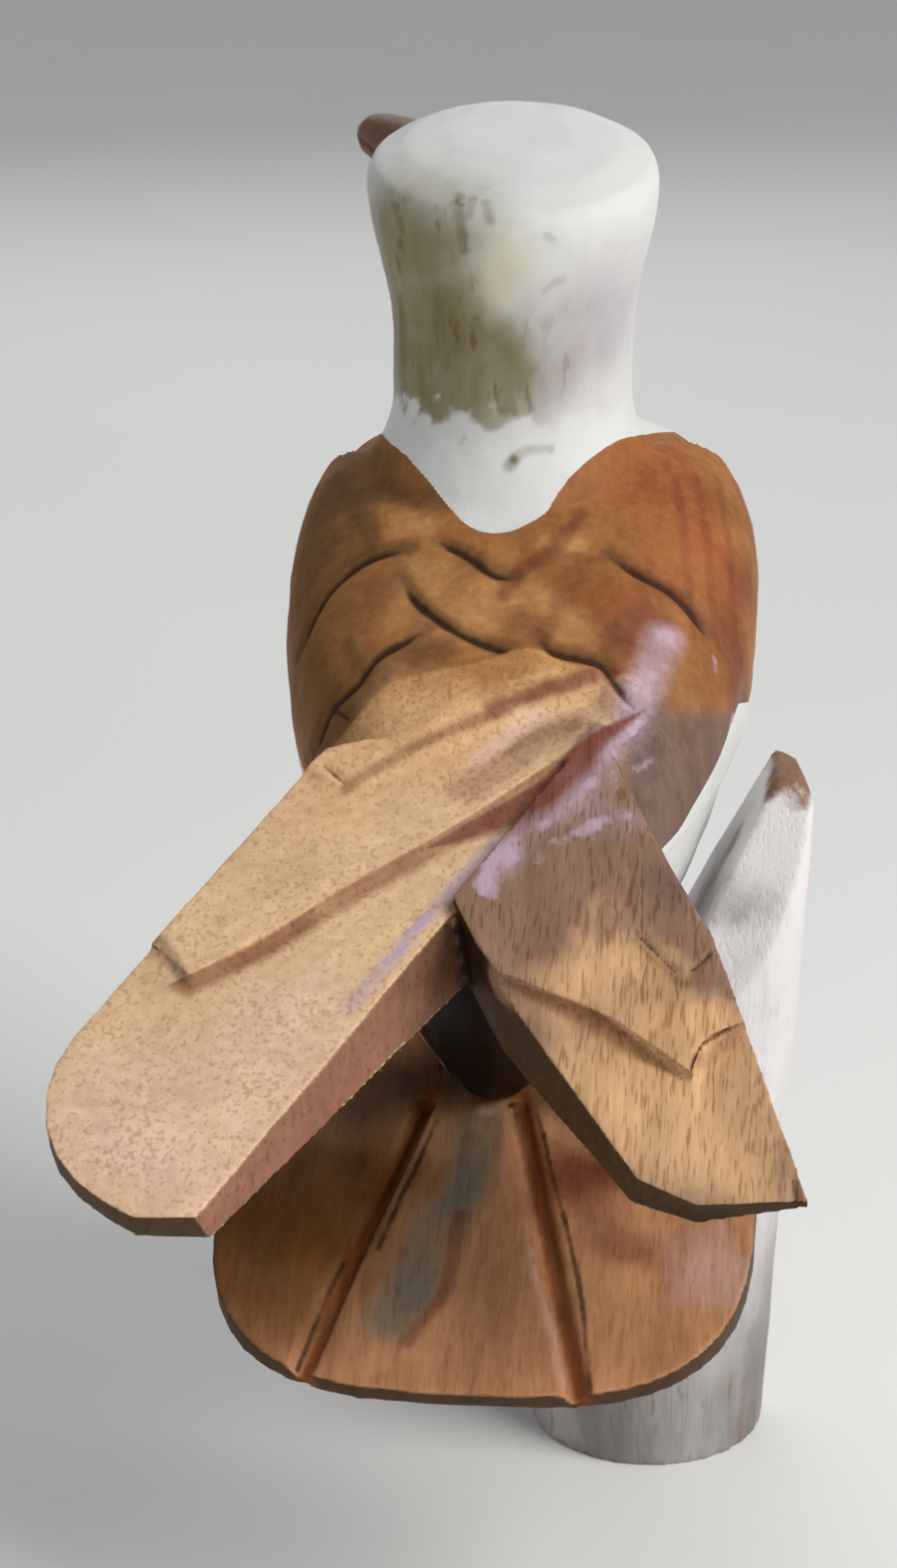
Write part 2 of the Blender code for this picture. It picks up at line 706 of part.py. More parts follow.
def build_wing(wing, finish, parent):
    frame = board_frame(wing)
    blade = add_part(wing_blank(wing["name"], wing, 0), finish, parent)
    tier = board(f"{wing['name']}_tier", to_board(wing, wing["tier"]()), -TIER_DEPTH, CUTTER_REACH / 4, frame)
    cut(blade, tier)
    if wing is LEFT:
        cut(blade, board("left_wing_first_tier", to_board(wing, left_first_tier()), -FIRST_TIER_DEPTH,
                         CUTTER_REACH / 4, frame))
    cut(blade, joined(f"{wing['name']}_holes", wing_pegs(wing, GLUE_GAP)))
    return blade


# Tail


def tail_frame():
    along = Vector((0, math.cos(TAIL_SLOPE), -math.sin(TAIL_SLOPE)))
    return frame_at(Vector((TAIL_X, TAIL_ROOT_Y, TAIL_ROOT_Z)), along, X_AXIS.cross(along))


def tail_outline():
    """A fan: it flares from its root to the full width and has a rounded end."""
    half = TAIL_WIDTH / 2
    root = TAIL_ROOT_WIDTH / 2
    outline = [(-TAIL_LAP, root), (-TAIL_LAP, -root)]
    steps = 3 * ARC_POINTS
    for i in range(steps + 1):
        across, out = superellipse(math.pi * i / steps, TAIL_ROUNDNESS)
        outline.append((TAIL_SHOULDER + out * (TAIL_LENGTH - TAIL_SHOULDER), -across * half))
    return outline


def tail_blank(name, grow):
    """The fan with its top flat and its underside thinned to the end."""
    frame = tail_frame()
    blank = board(name, grown(tail_outline(), grow), -BLANK_DEPTH, grow, frame)
    slope = (TAIL_THICKNESS - TAIL_EDGE_THICKNESS) / TAIL_LENGTH
    normal = frame.to_3x3() @ Vector((slope, 0, -1)).normalized()
    return trimmed(blank, frame @ Vector((0, 0, -TAIL_THICKNESS)) + normal * grow, normal)


def tail_pegs(grow):
    """Pegs along the tail, from its root end into the rump."""
    frame = tail_frame()
    pegs = []
    for side in (1, -1):
        across = side * TAIL_PEG_SPACING / 2
        level = -TAIL_THICKNESS / 3
        start = frame @ Vector((-TAIL_LAP + TAIL_PEG_DEPTH + grow, across, level))
        end = frame @ Vector((-TAIL_LAP - TAIL_PEG_RUMP_DEPTH - grow, across, level))
        pegs.append(rod("tail_peg", start, end, PEG_RADIUS + grow))
    return pegs


def build_tail(finish, parent):
    frame = tail_frame()
    tail = add_part(tail_blank("tail", 0), finish, parent)
    grooves = ((LEFT_GROOVE_ROOT, LEFT_GROOVE_END), (RIGHT_GROOVE_ROOT, RIGHT_GROOVE_END))
    for number, (root, end) in enumerate(grooves, 1):
        start = Vector((0, -root, 0))
        run = Vector((TAIL_LENGTH, root - end, 0))
        cut(tail, rod(f"tail_groove_{number}", frame @ start, frame @ (start + run * TAIL_GROOVE_OVERRUN),
                      TAIL_GROOVE_DEPTH, GROOVE_SIDES))
    cut(tail, joined("tail_holes", tail_pegs(GLUE_GAP)))
    return tail


# Pilings and dowels


def main_axis(height):
    return Vector((MAIN_PILING_X, MAIN_PILING_Y, height))


def side_axis(height):
    apart = MAIN_PILING_RADIUS + SIDE_PILING_RADIUS + GLUE_GAP
    bearing = Vector((math.cos(SIDE_PILING_BEARING), math.sin(SIDE_PILING_BEARING), 0))
    return main_axis(height) + bearing * apart


def piling_rod(name, grow):
    return rod(name, main_axis(0), main_axis(PERCH_HEIGHT + grow), MAIN_PILING_RADIUS + grow, POST_SIDES)


def build_main_piling(finish, parent):
    piling = add_part(piling_rod("main_piling", 0), finish, parent)
    cut(piling, perch_dowel("piling_hole", GLUE_GAP))
    cut(piling, joined("main_cross_holes", piling_dowels(GLUE_GAP)))
    return piling


def build_side_piling(finish, parent):
    """A round post hewn to a ridge: a long face towards the bird, a shoulder outside and a near facet."""
    top = side_axis(SIDE_PILING_HEIGHT) - X_AXIS * SIDE_PILING_HEIGHT * math.tan(SIDE_PILING_LEAN)
    foot = side_axis(0)
    buried = (foot - top).normalized() * SIDE_PILING_RADIUS
    post = rod("side_piling", foot + buried, top, SIDE_PILING_RADIUS, POST_SIDES)
    piling = add_part(trimmed(post, foot, -UP), finish, parent)
    crest = top - X_AXIS * (SIDE_PILING_RADIUS - HEWN_CREST)
    inner = Vector((math.sin(HEWN_SLOPE), 0, math.cos(HEWN_SLOPE)))
    cut(piling, half_space("hewn_face", crest, inner))
    outer = Vector((-math.sin(SHOULDER_SLOPE), 0, math.cos(SHOULDER_SLOPE)))
    cut(piling, half_space("hewn_shoulder", crest - X_AXIS * (HEWN_CREST - SHOULDER_WIDTH), outer))
    near = Vector((0, math.sin(NEAR_FACET_SLOPE), math.cos(NEAR_FACET_SLOPE)))
    cut(piling, half_space("near_facet", crest, near))
    cut(piling, body_form("flank_cope", MANTLE_RISE + GLUE_GAP))
    cut(piling, joined("side_cross_holes", piling_dowels(GLUE_GAP)))
    return piling


def piling_dowels(grow):
    dowels = []
    for height in PILING_DOWEL_HEIGHTS:
        towards = (side_axis(height) - main_axis(height)).normalized()
        seam = main_axis(height) + towards * (MAIN_PILING_RADIUS + GLUE_GAP / 2)
        reach = towards * (PILING_DOWEL_DEPTH + grow)
        dowels.append(rod("piling_dowel", seam - reach, seam + reach, PILING_DOWEL_RADIUS + grow))
    return dowels


def perch_dowel(name, grow):
    reach = PERCH_DOWEL_DEPTH + grow
    return rod(name, main_axis(PERCH_HEIGHT - reach), main_axis(PERCH_HEIGHT + reach),
               PERCH_DOWEL_RADIUS + grow)


def neck_dowel(name, grow):
    seat = Vector((0, NECK_Y, NECK_SEAT_Z))
    reach = UP * (NECK_DOWEL_DEPTH + grow)
    return rod(name, seat - reach, seat + reach, NECK_DOWEL_RADIUS + grow)


def main():
    clear_scene()
    new_collection(OBJECT_NAME)
    new_collection("cutters")
    carving = bpy.data.objects.new("carving", None)
    bpy.data.collections[OBJECT_NAME].objects.link(carving)

    white = wood("chalky_white", (0.62, 0.62, 0.58), 0.75)
    brown = wood("stained_brown", (0.36, 0.17, 0.07), 0.55)
    raw = wood("raw_wood", (0.58, 0.36, 0.19), 0.7)
    wash = wood("whitewash", (0.55, 0.53, 0.53), 0.8)
    dowel = wood("dowel_wood", (0.55, 0.38, 0.22), 0.7)
    horn = wood("beak_brown", (0.25, 0.12, 0.05), 0.5)
    bead = wood("dark_bead", (0.02, 0.02, 0.02), 0.2)

    build_main_piling(wash, carving)
    build_side_piling(wash, carving)
    add_group("piling_dowel", piling_dowels(0), dowel, carving)
    add_part(perch_dowel("perch_dowel", 0), dowel, carving)
    build_body(white, carving)
    add_part(neck_dowel("neck_dowel", 0), dowel, carving)
    build_head(white, carving)
    add_part(beak_form("beak", 0), horn, carving)
    add_part(eye_form("left_eye", 1, 0), bead, carving)
    add_part(eye_form("right_eye", -1, 0), bead, carving)
    for wing in (LEFT, RIGHT):
        build_wing(wing, raw, carving)
        add_group(f"{wing['name']}_peg", wing_pegs(wing, 0), dowel, carving)
    build_tail(brown, carving)
    add_group("tail_peg", tail_pegs(0), dowel, carving)


main()
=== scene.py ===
"""Looks of a carved wooden seagull: worn white head, stained mantle, raw wing tips, whitewashed pilings."""

import math

import bmesh
import bpy
import numpy as np
from mathutils import Matrix, Vector
from mathutils.bvhtree import BVHTree


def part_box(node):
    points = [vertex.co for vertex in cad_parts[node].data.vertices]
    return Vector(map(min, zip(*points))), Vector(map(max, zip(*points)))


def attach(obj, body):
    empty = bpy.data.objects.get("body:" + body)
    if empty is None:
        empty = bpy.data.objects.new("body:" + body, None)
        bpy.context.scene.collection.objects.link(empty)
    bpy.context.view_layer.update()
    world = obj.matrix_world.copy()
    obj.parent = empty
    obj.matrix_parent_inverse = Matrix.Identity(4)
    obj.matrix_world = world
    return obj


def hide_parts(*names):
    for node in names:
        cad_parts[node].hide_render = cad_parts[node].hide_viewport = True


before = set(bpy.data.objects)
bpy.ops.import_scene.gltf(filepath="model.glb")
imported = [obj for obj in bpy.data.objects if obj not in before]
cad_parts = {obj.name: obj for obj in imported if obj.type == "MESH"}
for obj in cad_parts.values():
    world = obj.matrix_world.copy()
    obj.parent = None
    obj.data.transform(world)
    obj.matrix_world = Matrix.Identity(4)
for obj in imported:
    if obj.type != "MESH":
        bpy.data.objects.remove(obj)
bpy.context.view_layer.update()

MM = 0.001

# Camera, as measured from the picture
PHOTO_WIDTH = 901
PHOTO_HEIGHT = 1575
FOCAL_PIXELS = 3538
SENSOR = 36
CAMERA_POINT = Vector((-0.0406, 0.5797, 0.32))
CAMERA_HEADING = math.radians(5)
CAMERA_PITCH = math.radians(20)
PIXELS_PER_MM = 5.7

# Slope that the back and the wing tops share
BACK_SLOPE = math.radians(28)
BACK_NORMAL = Vector((0, math.sin(BACK_SLOPE), math.cos(BACK_SLOPE)))

# Fine meshes
INFLATE = 0.45 * MM
BIRD_VOXEL = 0.52 * MM
TAIL_VOXEL = 0.45 * MM
POST_VOXEL = 0.7 * MM
BEAK_VOXEL = 0.35 * MM
SEAM_REACH = 3.5 * MM
SEAM_ROUNDS = 45
EDGE_ROUNDS = 3
HEAD_ROUNDS = 14
RIM_DEPTH = 2.5 * MM
THIN_FROM_SEAMS = 4 * MM
BODY_SHARE = 0.64

# Unevenness of the hand-laid stains
WOBBLE = 0.09
WOBBLE_SIZE = 16 * MM
WOBBLE_FULL = 9
WOBBLE_OCTAVES = 4
WOBBLE_WAVES = 5

# Paints and woods, as sRGB
CHALK = (224, 225, 223)
# Dirt on the chalk paint, also its painted shade on the head's left side
CHALK_DIRT_AND_SHADE = (114, 102, 62)
CREAM = (222, 216, 188)
OLIVE_CHALK = (172, 163, 126)
ROSE_WHITE = (190, 183, 189)
SPECK = (92, 72, 48)
# Painted shade of the wings' end faces
END_SHADE = (62, 42, 18)
# Painted shade under the right wing's tier and notch
TIER_SHADE = (140, 92, 50)
MANTLE = (160, 108, 62)
OLIVE_BROWN = (120, 80, 28)
DARK_OLIVE = (78, 52, 22)
TAN = (206, 154, 100)
ORANGE = (160, 92, 52)
RED_BROWN = (112, 52, 36)
# Painted shade at the feather step's root, in red brown
BEVEL_RED_SHADE = (126, 72, 58)
RAW = (234, 198, 158)
RAW_PINK = (242, 206, 188)
RAW_TAN = (228, 184, 138)
LILAC = (198, 170, 188)
PINK_BROWN = (160, 116, 94)
GREY_BROWN = (152, 120, 100)
FLANK_GREY = (120, 97, 90)
# Painted shade of the right wing's inner side and of a small V-cut
SHADED_SIDE = (82, 58, 32)
# Painted shade under the wings: the rump, the faces tucked beneath them and the fork
RUMP_SHADE = (34, 18, 6)
STAIN = (50, 26, 12)
# Painted shade on the feather step's riser and in the first tier's groove
STEP_SHADE = (142, 90, 60)
TAIL_OLIVE = (102, 60, 2)
TAIL_PINK = (190, 138, 98)
# Painted shade and shadow on the tail
TAIL_SHADE = (50, 34, 18)
TAIL_RED = (98, 38, 20)
TAIL_GREY = (116, 110, 98)
# Pale tone of the tail's right edge, also its painted highlights
TAIL_PALE_AND_HIGHLIGHT = (206, 168, 152)
GROOVE_RUST = (134, 72, 28)
POST_WASH = (238, 233, 234)
# Dirt on the posts, also their painted shade
POST_DIRT_AND_SHADE = (116, 108, 103)
POST_WOOD = (140, 104, 80)
BEAK_BROWN = (112, 70, 34)
BEAK_DARK = (58, 32, 16)
BEAD_BLACK = (0.006, 0.006, 0.007, 1)
BEAD_BROWN = (0.03, 0.026, 0.022, 1)
DOWEL_PALE = (196, 154, 106)
FLOOR = (246, 246, 244)
FLOOR_SHADE = (241, 241, 239)
SKY = (222, 224, 226)


def linear(colour):
    share = np.array(colour, float) / 255
    return np.where(share <= 0.04045, share / 12.92, ((share + 0.055) / 1.055) ** 2.4)


def rgba(colour):
    return (*linear(colour), 1)


# Camera


def camera_axes():
    level = Vector((math.sin(CAMERA_HEADING), -math.cos(CAMERA_HEADING), 0))
    ahead = level * math.cos(CAMERA_PITCH) - Vector((0, 0, math.sin(CAMERA_PITCH)))
    right = ahead.cross(Vector((0, 0, 1))).normalized()
    return ahead, right, right.cross(ahead)


def photo_ray(px, py):
    ahead, right, up = camera_axes()
    across = (px - PHOTO_WIDTH / 2) / FOCAL_PIXELS
    down = (py - PHOTO_HEIGHT / 2) / FOCAL_PIXELS
    return (ahead + right * across - up * down).normalized()


def pixels(co):
    """Where points show in the picture."""
    ahead, right, up = (np.array(axis) for axis in camera_axes())
    away = co - np.array(CAMERA_POINT)
    depth = away @ ahead
    across = PHOTO_WIDTH / 2 + FOCAL_PIXELS * (away @ right) / depth
    return np.stack((across, PHOTO_HEIGHT / 2 - FOCAL_PIXELS * (away @ up) / depth), axis=1)


def add_camera():
    ahead, right, up = camera_axes()
    lens = bpy.data.cameras.new("camera")
    lens.sensor_width = SENSOR
    lens.lens = FOCAL_PIXELS / PHOTO_HEIGHT * SENSOR
    lens.clip_start = 0.01
    camera = new_object("camera", lens)
    camera.matrix_world = Matrix.Translation(CAMERA_POINT) @ Matrix((right, up, -ahead)).transposed().to_4x4()
    bpy.context.scene.camera = camera


# Meshes


def new_object(name, data):
    thing = bpy.data.objects.new(name, data)
    bpy.context.scene.collection.objects.link(thing)
    return thing


def settle(name, mesh, node):
    """A finished piece stands for its CAD node."""
    piece = new_object(name, mesh)
    piece.vertex_groups.clear()
    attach(piece, "root")
    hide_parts(node)


def plain_mesh(thing):
    """The evaluated shape of an object as a mesh of its own; the object is removed."""
    graph = bpy.context.evaluated_depsgraph_get()
    mesh = bpy.data.meshes.new_from_object(thing.evaluated_get(graph), preserve_all_data_layers=True,
                                           depsgraph=graph)
    bpy.data.objects.remove(thing)
    return mesh


def as_mesh(name, shape):
    mesh = bpy.data.meshes.new(name)
    shape.to_mesh(mesh)
    shape.free()
    mesh.materials.clear()
    return mesh


def cad_bmesh(node, grow):
    """A CAD node's shape with merged corners, swollen by an even layer."""
    shape = bmesh.new()
    shape.from_mesh(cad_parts[node].data)
    bmesh.ops.remove_doubles(shape, verts=shape.verts, dist=1e-6)
    shape.normal_update()
    moves = [v.normal * grow * min(2, v.calc_shell_factor()) for v in shape.verts]
    for v, move in zip(shape.verts, moves):
        v.co += move
    return shape


def voxel_mesh(name, nodes, voxel, grow=0):
    """One fine skin round one or more CAD nodes; with a layer grown on, near pieces flow together."""
    whole = bmesh.new()
    for node in nodes:
        scratch = as_mesh("scratch", cad_bmesh(node, grow))
        whole.from_mesh(scratch)
        bpy.data.meshes.remove(scratch)
    thing = new_object(name, as_mesh(name, whole))
    step = thing.modifiers.new("voxels", "REMESH")
    step.mode = "VOXEL"
    step.voxel_size = voxel
    step.use_smooth_shade = True
    return plain_mesh(thing)


def points(mesh):
    co = np.empty(len(mesh.vertices) * 3, np.float32)
    mesh.vertices.foreach_get("co", co)
    return co.reshape(-1, 3).astype(float)


def set_points(mesh, co):
    mesh.vertices.foreach_set("co", co.astype(np.float32).ravel())
    mesh.update()


def normals(mesh):
    n = np.empty(len(mesh.vertices) * 3, np.float32)
    mesh.vertex_normals.foreach_get("vector", n)
    return n.reshape(-1, 3).astype(float)


def read(mesh, name):
    values = np.empty(len(mesh.vertices), np.float32)
    mesh.attributes[name].data.foreach_get("value", values)
    return values.astype(float)


def write(mesh, name, values):
    layer = mesh.attributes.get(name) or mesh.attributes.new(name, "FLOAT", "POINT")
    layer.data.foreach_set("value", values.astype(np.float32))


def write_colour(mesh, name, colours):
    layer = mesh.attributes.new(name, "FLOAT_COLOR", "POINT")
    full = np.ones((len(colours), 4), np.float32)
    full[:, :3] = colours
    layer.data.foreach_set("color", full.ravel())


def relax(mesh, rounds, weight=None):
    """Evens the skin out, as sanding does; a weight limits it to chosen places."""
    co = points(mesh)
    pairs = np.empty(len(mesh.edges) * 2, np.int32)
    mesh.edges.foreach_get("vertices", pairs)
    a, b = pairs.reshape(-1, 2).T
    count = np.bincount(a, minlength=len(co)) + np.bincount(b, minlength=len(co))
    count = np.maximum(count, 1)
    pull = 0.5 if weight is None else 0.5 * weight[:, None]
    for _ in range(rounds):
        mean = np.empty_like(co)
        for k in range(3):
            mean[:, k] = (np.bincount(a, co[b, k], len(co)) + np.bincount(b, co[a, k], len(co))) / count
        co += (mean - co) * pull
    set_points(mesh, co)


def smoothstep(low, high, value):
    t = np.clip((value - low) / (high - low), 0, 1)
    return t * t * (3 - 2 * t)


def within(distance, full, none):
    """1 up to one distance in millimetres, falling to 0 at another."""
    return 1 - smoothstep(full * MM, none * MM, distance)


# Nodes


def feed(tree, socket, value):
    """Links an output to a socket, or sets a plain value on it."""
    if isinstance(value, bpy.types.NodeSocket):
        tree.links.new(value, socket)
    elif value is not None:
        socket.default_value = value


def add_node(tree, kind, feeds, **settings):
    """A node with its settings made and its inputs fed, by name or number."""
    node = tree.nodes.new(kind)
    for name, value in settings.items():
        setattr(node, name, value)
    for key, value in feeds.items():
        feed(tree, node.inputs[key], value)
    return node


# Geometry Nodes


def geometry_tree(name, inputs):
    """An empty tree with a mesh going in and out and named inputs."""
    tree = bpy.data.node_groups.new(name, "GeometryNodeTree")
    tree.interface.new_socket("Geometry", in_out="INPUT", socket_type="NodeSocketGeometry")
    for label, kind in inputs:
        tree.interface.new_socket(label, in_out="INPUT", socket_type=f"NodeSocket{kind}")
    tree.interface.new_socket("Geometry", in_out="OUTPUT", socket_type="NodeSocketGeometry")
    return tree, tree.nodes.new("NodeGroupInput"), tree.nodes.new("NodeGroupOutput")


def close_tree(tree, flow, start, end):
    """Ends a tree in plain geometry with its material."""
    real = add_node(tree, "GeometryNodeRealizeInstances", {"Geometry": flow})
    dress = add_node(tree, "GeometryNodeSetMaterial", {
        "Geometry": real.outputs["Geometry"], "Material": start.outputs["Material"]})
    feed(tree, end.inputs["Geometry"], dress.outputs["Geometry"])


def run_tree(mesh, tree, values):
    """A mesh passed through a tree with its inputs set."""
    thing = new_object(mesh.name, mesh)
    step = thing.modifiers.new(tree.name, "NODES")
    step.node_group = tree
    for item in tree.interface.items_tree:
        if item.in_out == "INPUT" and item.name in values:
            step[item.identifier] = values[item.name]
    made = plain_mesh(thing)
    made.name = mesh.name
    made.polygons.foreach_set("material_index", np.zeros(len(made.polygons), np.int32))
    made.materials.clear()
    made.materials.append(values["Material"])
    return made


def nearness_tree(names):
    """Stores how far each point lies from each of some shapes."""
    inputs = [(name, "Object") for name in names] + [("Material", "Material")]
    tree, start, end = geometry_tree("Nearness to pieces", inputs)
    flow = start.outputs["Geometry"]
    for name in names:
        shape = add_node(tree, "GeometryNodeObjectInfo", {"Object": start.outputs[name]})
        near = add_node(tree, "GeometryNodeProximity", {"Geometry": shape.outputs["Geometry"]})
        store = add_node(tree, "GeometryNodeStoreNamedAttribute", {
            "Geometry": flow, "Name": f"near_{name}", "Value": near.outputs["Distance"]})
        flow = store.outputs["Geometry"]
    close_tree(tree, flow, start, end)
    return tree


def carving_tree():
    """Cuts V lines along paths, then leaves the shallow marks of a knife."""
    inputs = [("Lines", "Object"), ("Line Width", "Float"), ("Line Depth", "Float"),
              ("Mark Size", "Float"), ("Mark Depth", "Float"), ("Mark Seed", "Float"),
              ("Material", "Material")]
    tree, start, end = geometry_tree("Carved lines and knife marks", inputs)
    put = start.outputs

    def math_node(operation, a, b):
        return add_node(tree, "ShaderNodeMath", {0: a, 1: b}, operation=operation).outputs[0]

    def push(flow, amount):
        normal = tree.nodes.new("GeometryNodeInputNormal").outputs["Normal"]
        scaled = add_node(tree, "ShaderNodeVectorMath", {0: normal, "Scale": amount}, operation="SCALE")
        move = add_node(tree, "GeometryNodeSetPosition", {
            "Geometry": flow, "Offset": scaled.outputs["Vector"]})
        return move.outputs["Geometry"]

    path = add_node(tree, "GeometryNodeObjectInfo", {"Object": put["Lines"]})
    radius = tree.nodes.new("GeometryNodeInputRadius").outputs["Radius"]
    keep = add_node(tree, "GeometryNodeStoreNamedAttribute", {
        "Geometry": path.outputs["Geometry"], "Name": "strength", "Value": radius})
    wire = add_node(tree, "GeometryNodeCurveToMesh", {"Curve": keep.outputs["Geometry"]}).outputs["Mesh"]
    near = add_node(tree, "GeometryNodeProximity", {"Geometry": wire}, target_element="EDGES")
    kept = add_node(tree, "GeometryNodeInputNamedAttribute", {"Name": "strength"})
    which = add_node(tree, "GeometryNodeSampleNearest", {"Geometry": wire})
    pick = add_node(tree, "GeometryNodeSampleIndex", {
        "Geometry": wire, "Value": kept.outputs["Attribute"], "Index": which.outputs["Index"]})
    share = math_node("DIVIDE", near.outputs["Distance"], put["Line Width"])
    valley = math_node("MAXIMUM", math_node("SUBTRACT", 1.0, share), 0.0)
    valley = math_node("MULTIPLY", math_node("POWER", valley, 1.3), pick.outputs["Value"])
    store = add_node(tree, "GeometryNodeStoreNamedAttribute", {
        "Geometry": put["Geometry"], "Name": "cut", "Value": valley})
    depth = math_node("MULTIPLY", math_node("MULTIPLY", valley, put["Line Depth"]), -1.0)
    flow = push(store.outputs["Geometry"], depth)

    position = tree.nodes.new("GeometryNodeInputPosition").outputs["Position"]
    noise = add_node(tree, "ShaderNodeTexNoise", {
        "Vector": position, "Scale": math_node("DIVIDE", 1.0, put["Mark Size"]), "W": put["Mark Seed"],
        "Detail": 1.5}, noise_dimensions="4D")
    mark = math_node("MULTIPLY", math_node("SUBTRACT", noise.outputs[0], 0.5), put["Mark Depth"])
    close_tree(tree, push(flow, mark), start, end)
    return tree


def line_object(name, lines, taper):
    """Poly lines as a curve object; a taper fades their ends."""
    curve = bpy.data.curves.new(name, "CURVE")
    curve.dimensions = "3D"
    for line in lines:
        spline = curve.splines.new("POLY")
        spline.points.add(len(line) - 1)
        for k, (point, place) in enumerate(zip(spline.points, line)):
            point.co = (*place, 1)
            point.radius = min(1, 0.35 + 4 * min(k, len(line) - 1 - k) / len(line)) if taper else 1
    return new_object(name, curve)


def carve(mesh, lines, width, depth, mark_size, mark_depth, seed, finish=None, taper=True):
    """A skin with lines cut into it and knife marks left on it; sizes are in millimetres."""
    cuts = line_object("cuts", lines, taper)
    made = run_tree(mesh, carving_tree(), {
        "Lines": cuts, "Line Width": width * MM, "Line Depth": depth * MM, "Mark Size": mark_size * MM,
        "Mark Depth": mark_depth * MM, "Mark Seed": float(seed), "Material": finish})
    bpy.data.objects.remove(cuts)
    return made


# Lines and paint, placed by where they show in the picture


class Target:
    """A skin that points of the picture are thrown onto."""

    def __init__(self, mesh):
        self.co = points(mesh)
        faces = [tuple(p.vertices) for p in mesh.polygons]
        self.tree = BVHTree.FromPolygons([Vector(c) for c in self.co], faces)

    def hit(self, px, py):
        """The skin's point at a place of the picture, or the nearest one to its ray."""
        ray = photo_ray(px, py)
        place = self.tree.ray_cast(CAMERA_POINT, ray)[0]
        if place is None:
            place = self.tree.find_nearest(CAMERA_POINT + ray * (CAMERA_POINT.length - 0.05))[0]
        return place

    def met(self, looks):
        """The skin's points met from some starts in some directions."""
        places = [self.tree.ray_cast(start, way)[0] for start, way in looks]
        return [place for place in places if place is not None]

    def thrown(self, paths):
        return [[self.hit(*p) for p in curved(path)] for path in paths]


def curved(path, steps=6):
    """A smooth line through the points of a path."""
    p = [Vector(q) for q in path]
    p = [2 * p[0] - p[1]] + p + [2 * p[-1] - p[-2]]
    line = []
    for i in range(1, len(p) - 2):
        for k in range(steps):
            t = k / steps
            a, b, c, d = p[i - 1:i + 3]
            line.append(0.5 * (2 * b + (c - a) * t + (2 * a - 5 * b + 4 * c - d) * t ** 2
                               + (3 * b - a - 3 * c + d) * t ** 3))
    return line + [p[-2]]


def drawn(path, steps=6):
    return np.array([tuple(q) for q in curved(path, steps)])


def wobble(co, size, seed):
    """A smooth uneven drift of points, made of waves in random directions."""
    random = np.random.default_rng(seed)
    drift = np.zeros_like(co)
    for octave in range(WOBBLE_OCTAVES):
        length = size / 2 ** octave
        for _ in range(WOBBLE_WAVES):
            heading, push = random.normal(size=(2, 3))
            phase = co @ heading / np.linalg.norm(heading) * math.tau / length
            wave = np.sin(phase + random.uniform(0, math.tau))
            drift += wave[:, None] * push / np.linalg.norm(push) * length * WOBBLE
    return drift


class Painter:
    """Colours of a skin, laid on with uneven spots and strokes."""

    def __init__(self, target, base, seed=1):
        self.target = target
        self.colour = np.tile(linear(base), (len(target.co), 1))
        self.drift = wobble(target.co, WOBBLE_SIZE, seed)
        self.mottle = 0.85 + np.clip(self.drift[:, 0] / WOBBLE_SIZE, -0.15, 0.15)

    def spread(self, width):
        """The points, shifted unevenly by as much as a mark of this width allows."""
        return self.target.co + self.drift * min(1, width / WOBBLE_FULL)

    def lay(self, mask, colour):
        self.colour += (linear(colour) - self.colour) * np.clip(mask, 0, 1)[:, None]

    def spot(self, place, radius):
        centre = np.array(self.target.hit(*place))
        away = np.linalg.norm(self.spread(radius) - centre, axis=1)
        return (1 - smoothstep(0.2, 1, away / (radius * MM))) * self.mottle

    def stroke(self, path, width):
        line = np.array([tuple(self.target.hit(*p)) for p in curved(path, 4)])
        co = self.spread(width / 2)
        best = np.full(len(co), 1e9)
        for a, b in zip(line, line[1:]):
            run = b - a
            t = np.clip(((co - a) @ run) / max(run @ run, 1e-12), 0, 1)
            best = np.minimum(best, np.linalg.norm(co - a - t[:, None] * run, axis=1))
        return (1 - smoothstep(0.2, 1, best / (width * MM))) * self.mottle

    def band(self, path, width, taper=0):
        """A band under a line of the picture: crisp along the line and soft below; its ends can taper."""
        near = np.flatnonzero(self.stroke(path, 2 * width))
        place = pixels(self.target.co[near])
        line = drawn(path, 4)
        best = np.full(len(near), 1e9)
        under = np.zeros(len(near))
        along = np.zeros(len(near))
        for k, (a, b) in enumerate(zip(line, line[1:])):
            run = b - a
            away = place - a
            t = np.clip(away @ run / (run @ run), 0, 1)
            gap = np.linalg.norm(away - t[:, None] * run, axis=1)
            closer = gap < best
            best = np.where(closer, gap, best)
            side = run[0] * away[:, 1] - run[1] * away[:, 0]
            under = np.where(closer, np.sign(side) * gap / PIXELS_PER_MM, under)
            along = np.where(closer, (k + t) / (len(line) - 1), along)
        if taper:
            width = width * np.clip(np.minimum(along, 1 - along) / taper, 0.02, 1)
        mask = np.zeros(len(self.target.co))
        mask[near] = smoothstep(-0.3, 0.3, under) * (1 - smoothstep(0.5 * width, width, under))
        return mask * self.mottle

    def stain(self, marks, limit=1):
        """Lays spots and strokes one after another: place or path, size in millimetres, colour, strength."""
        for place, size, colour, strength in marks:
            mask = self.stroke(place, size) if isinstance(place[0], tuple) else self.spot(place, size)
            self.lay(mask * strength * limit, colour)


# Shader groups


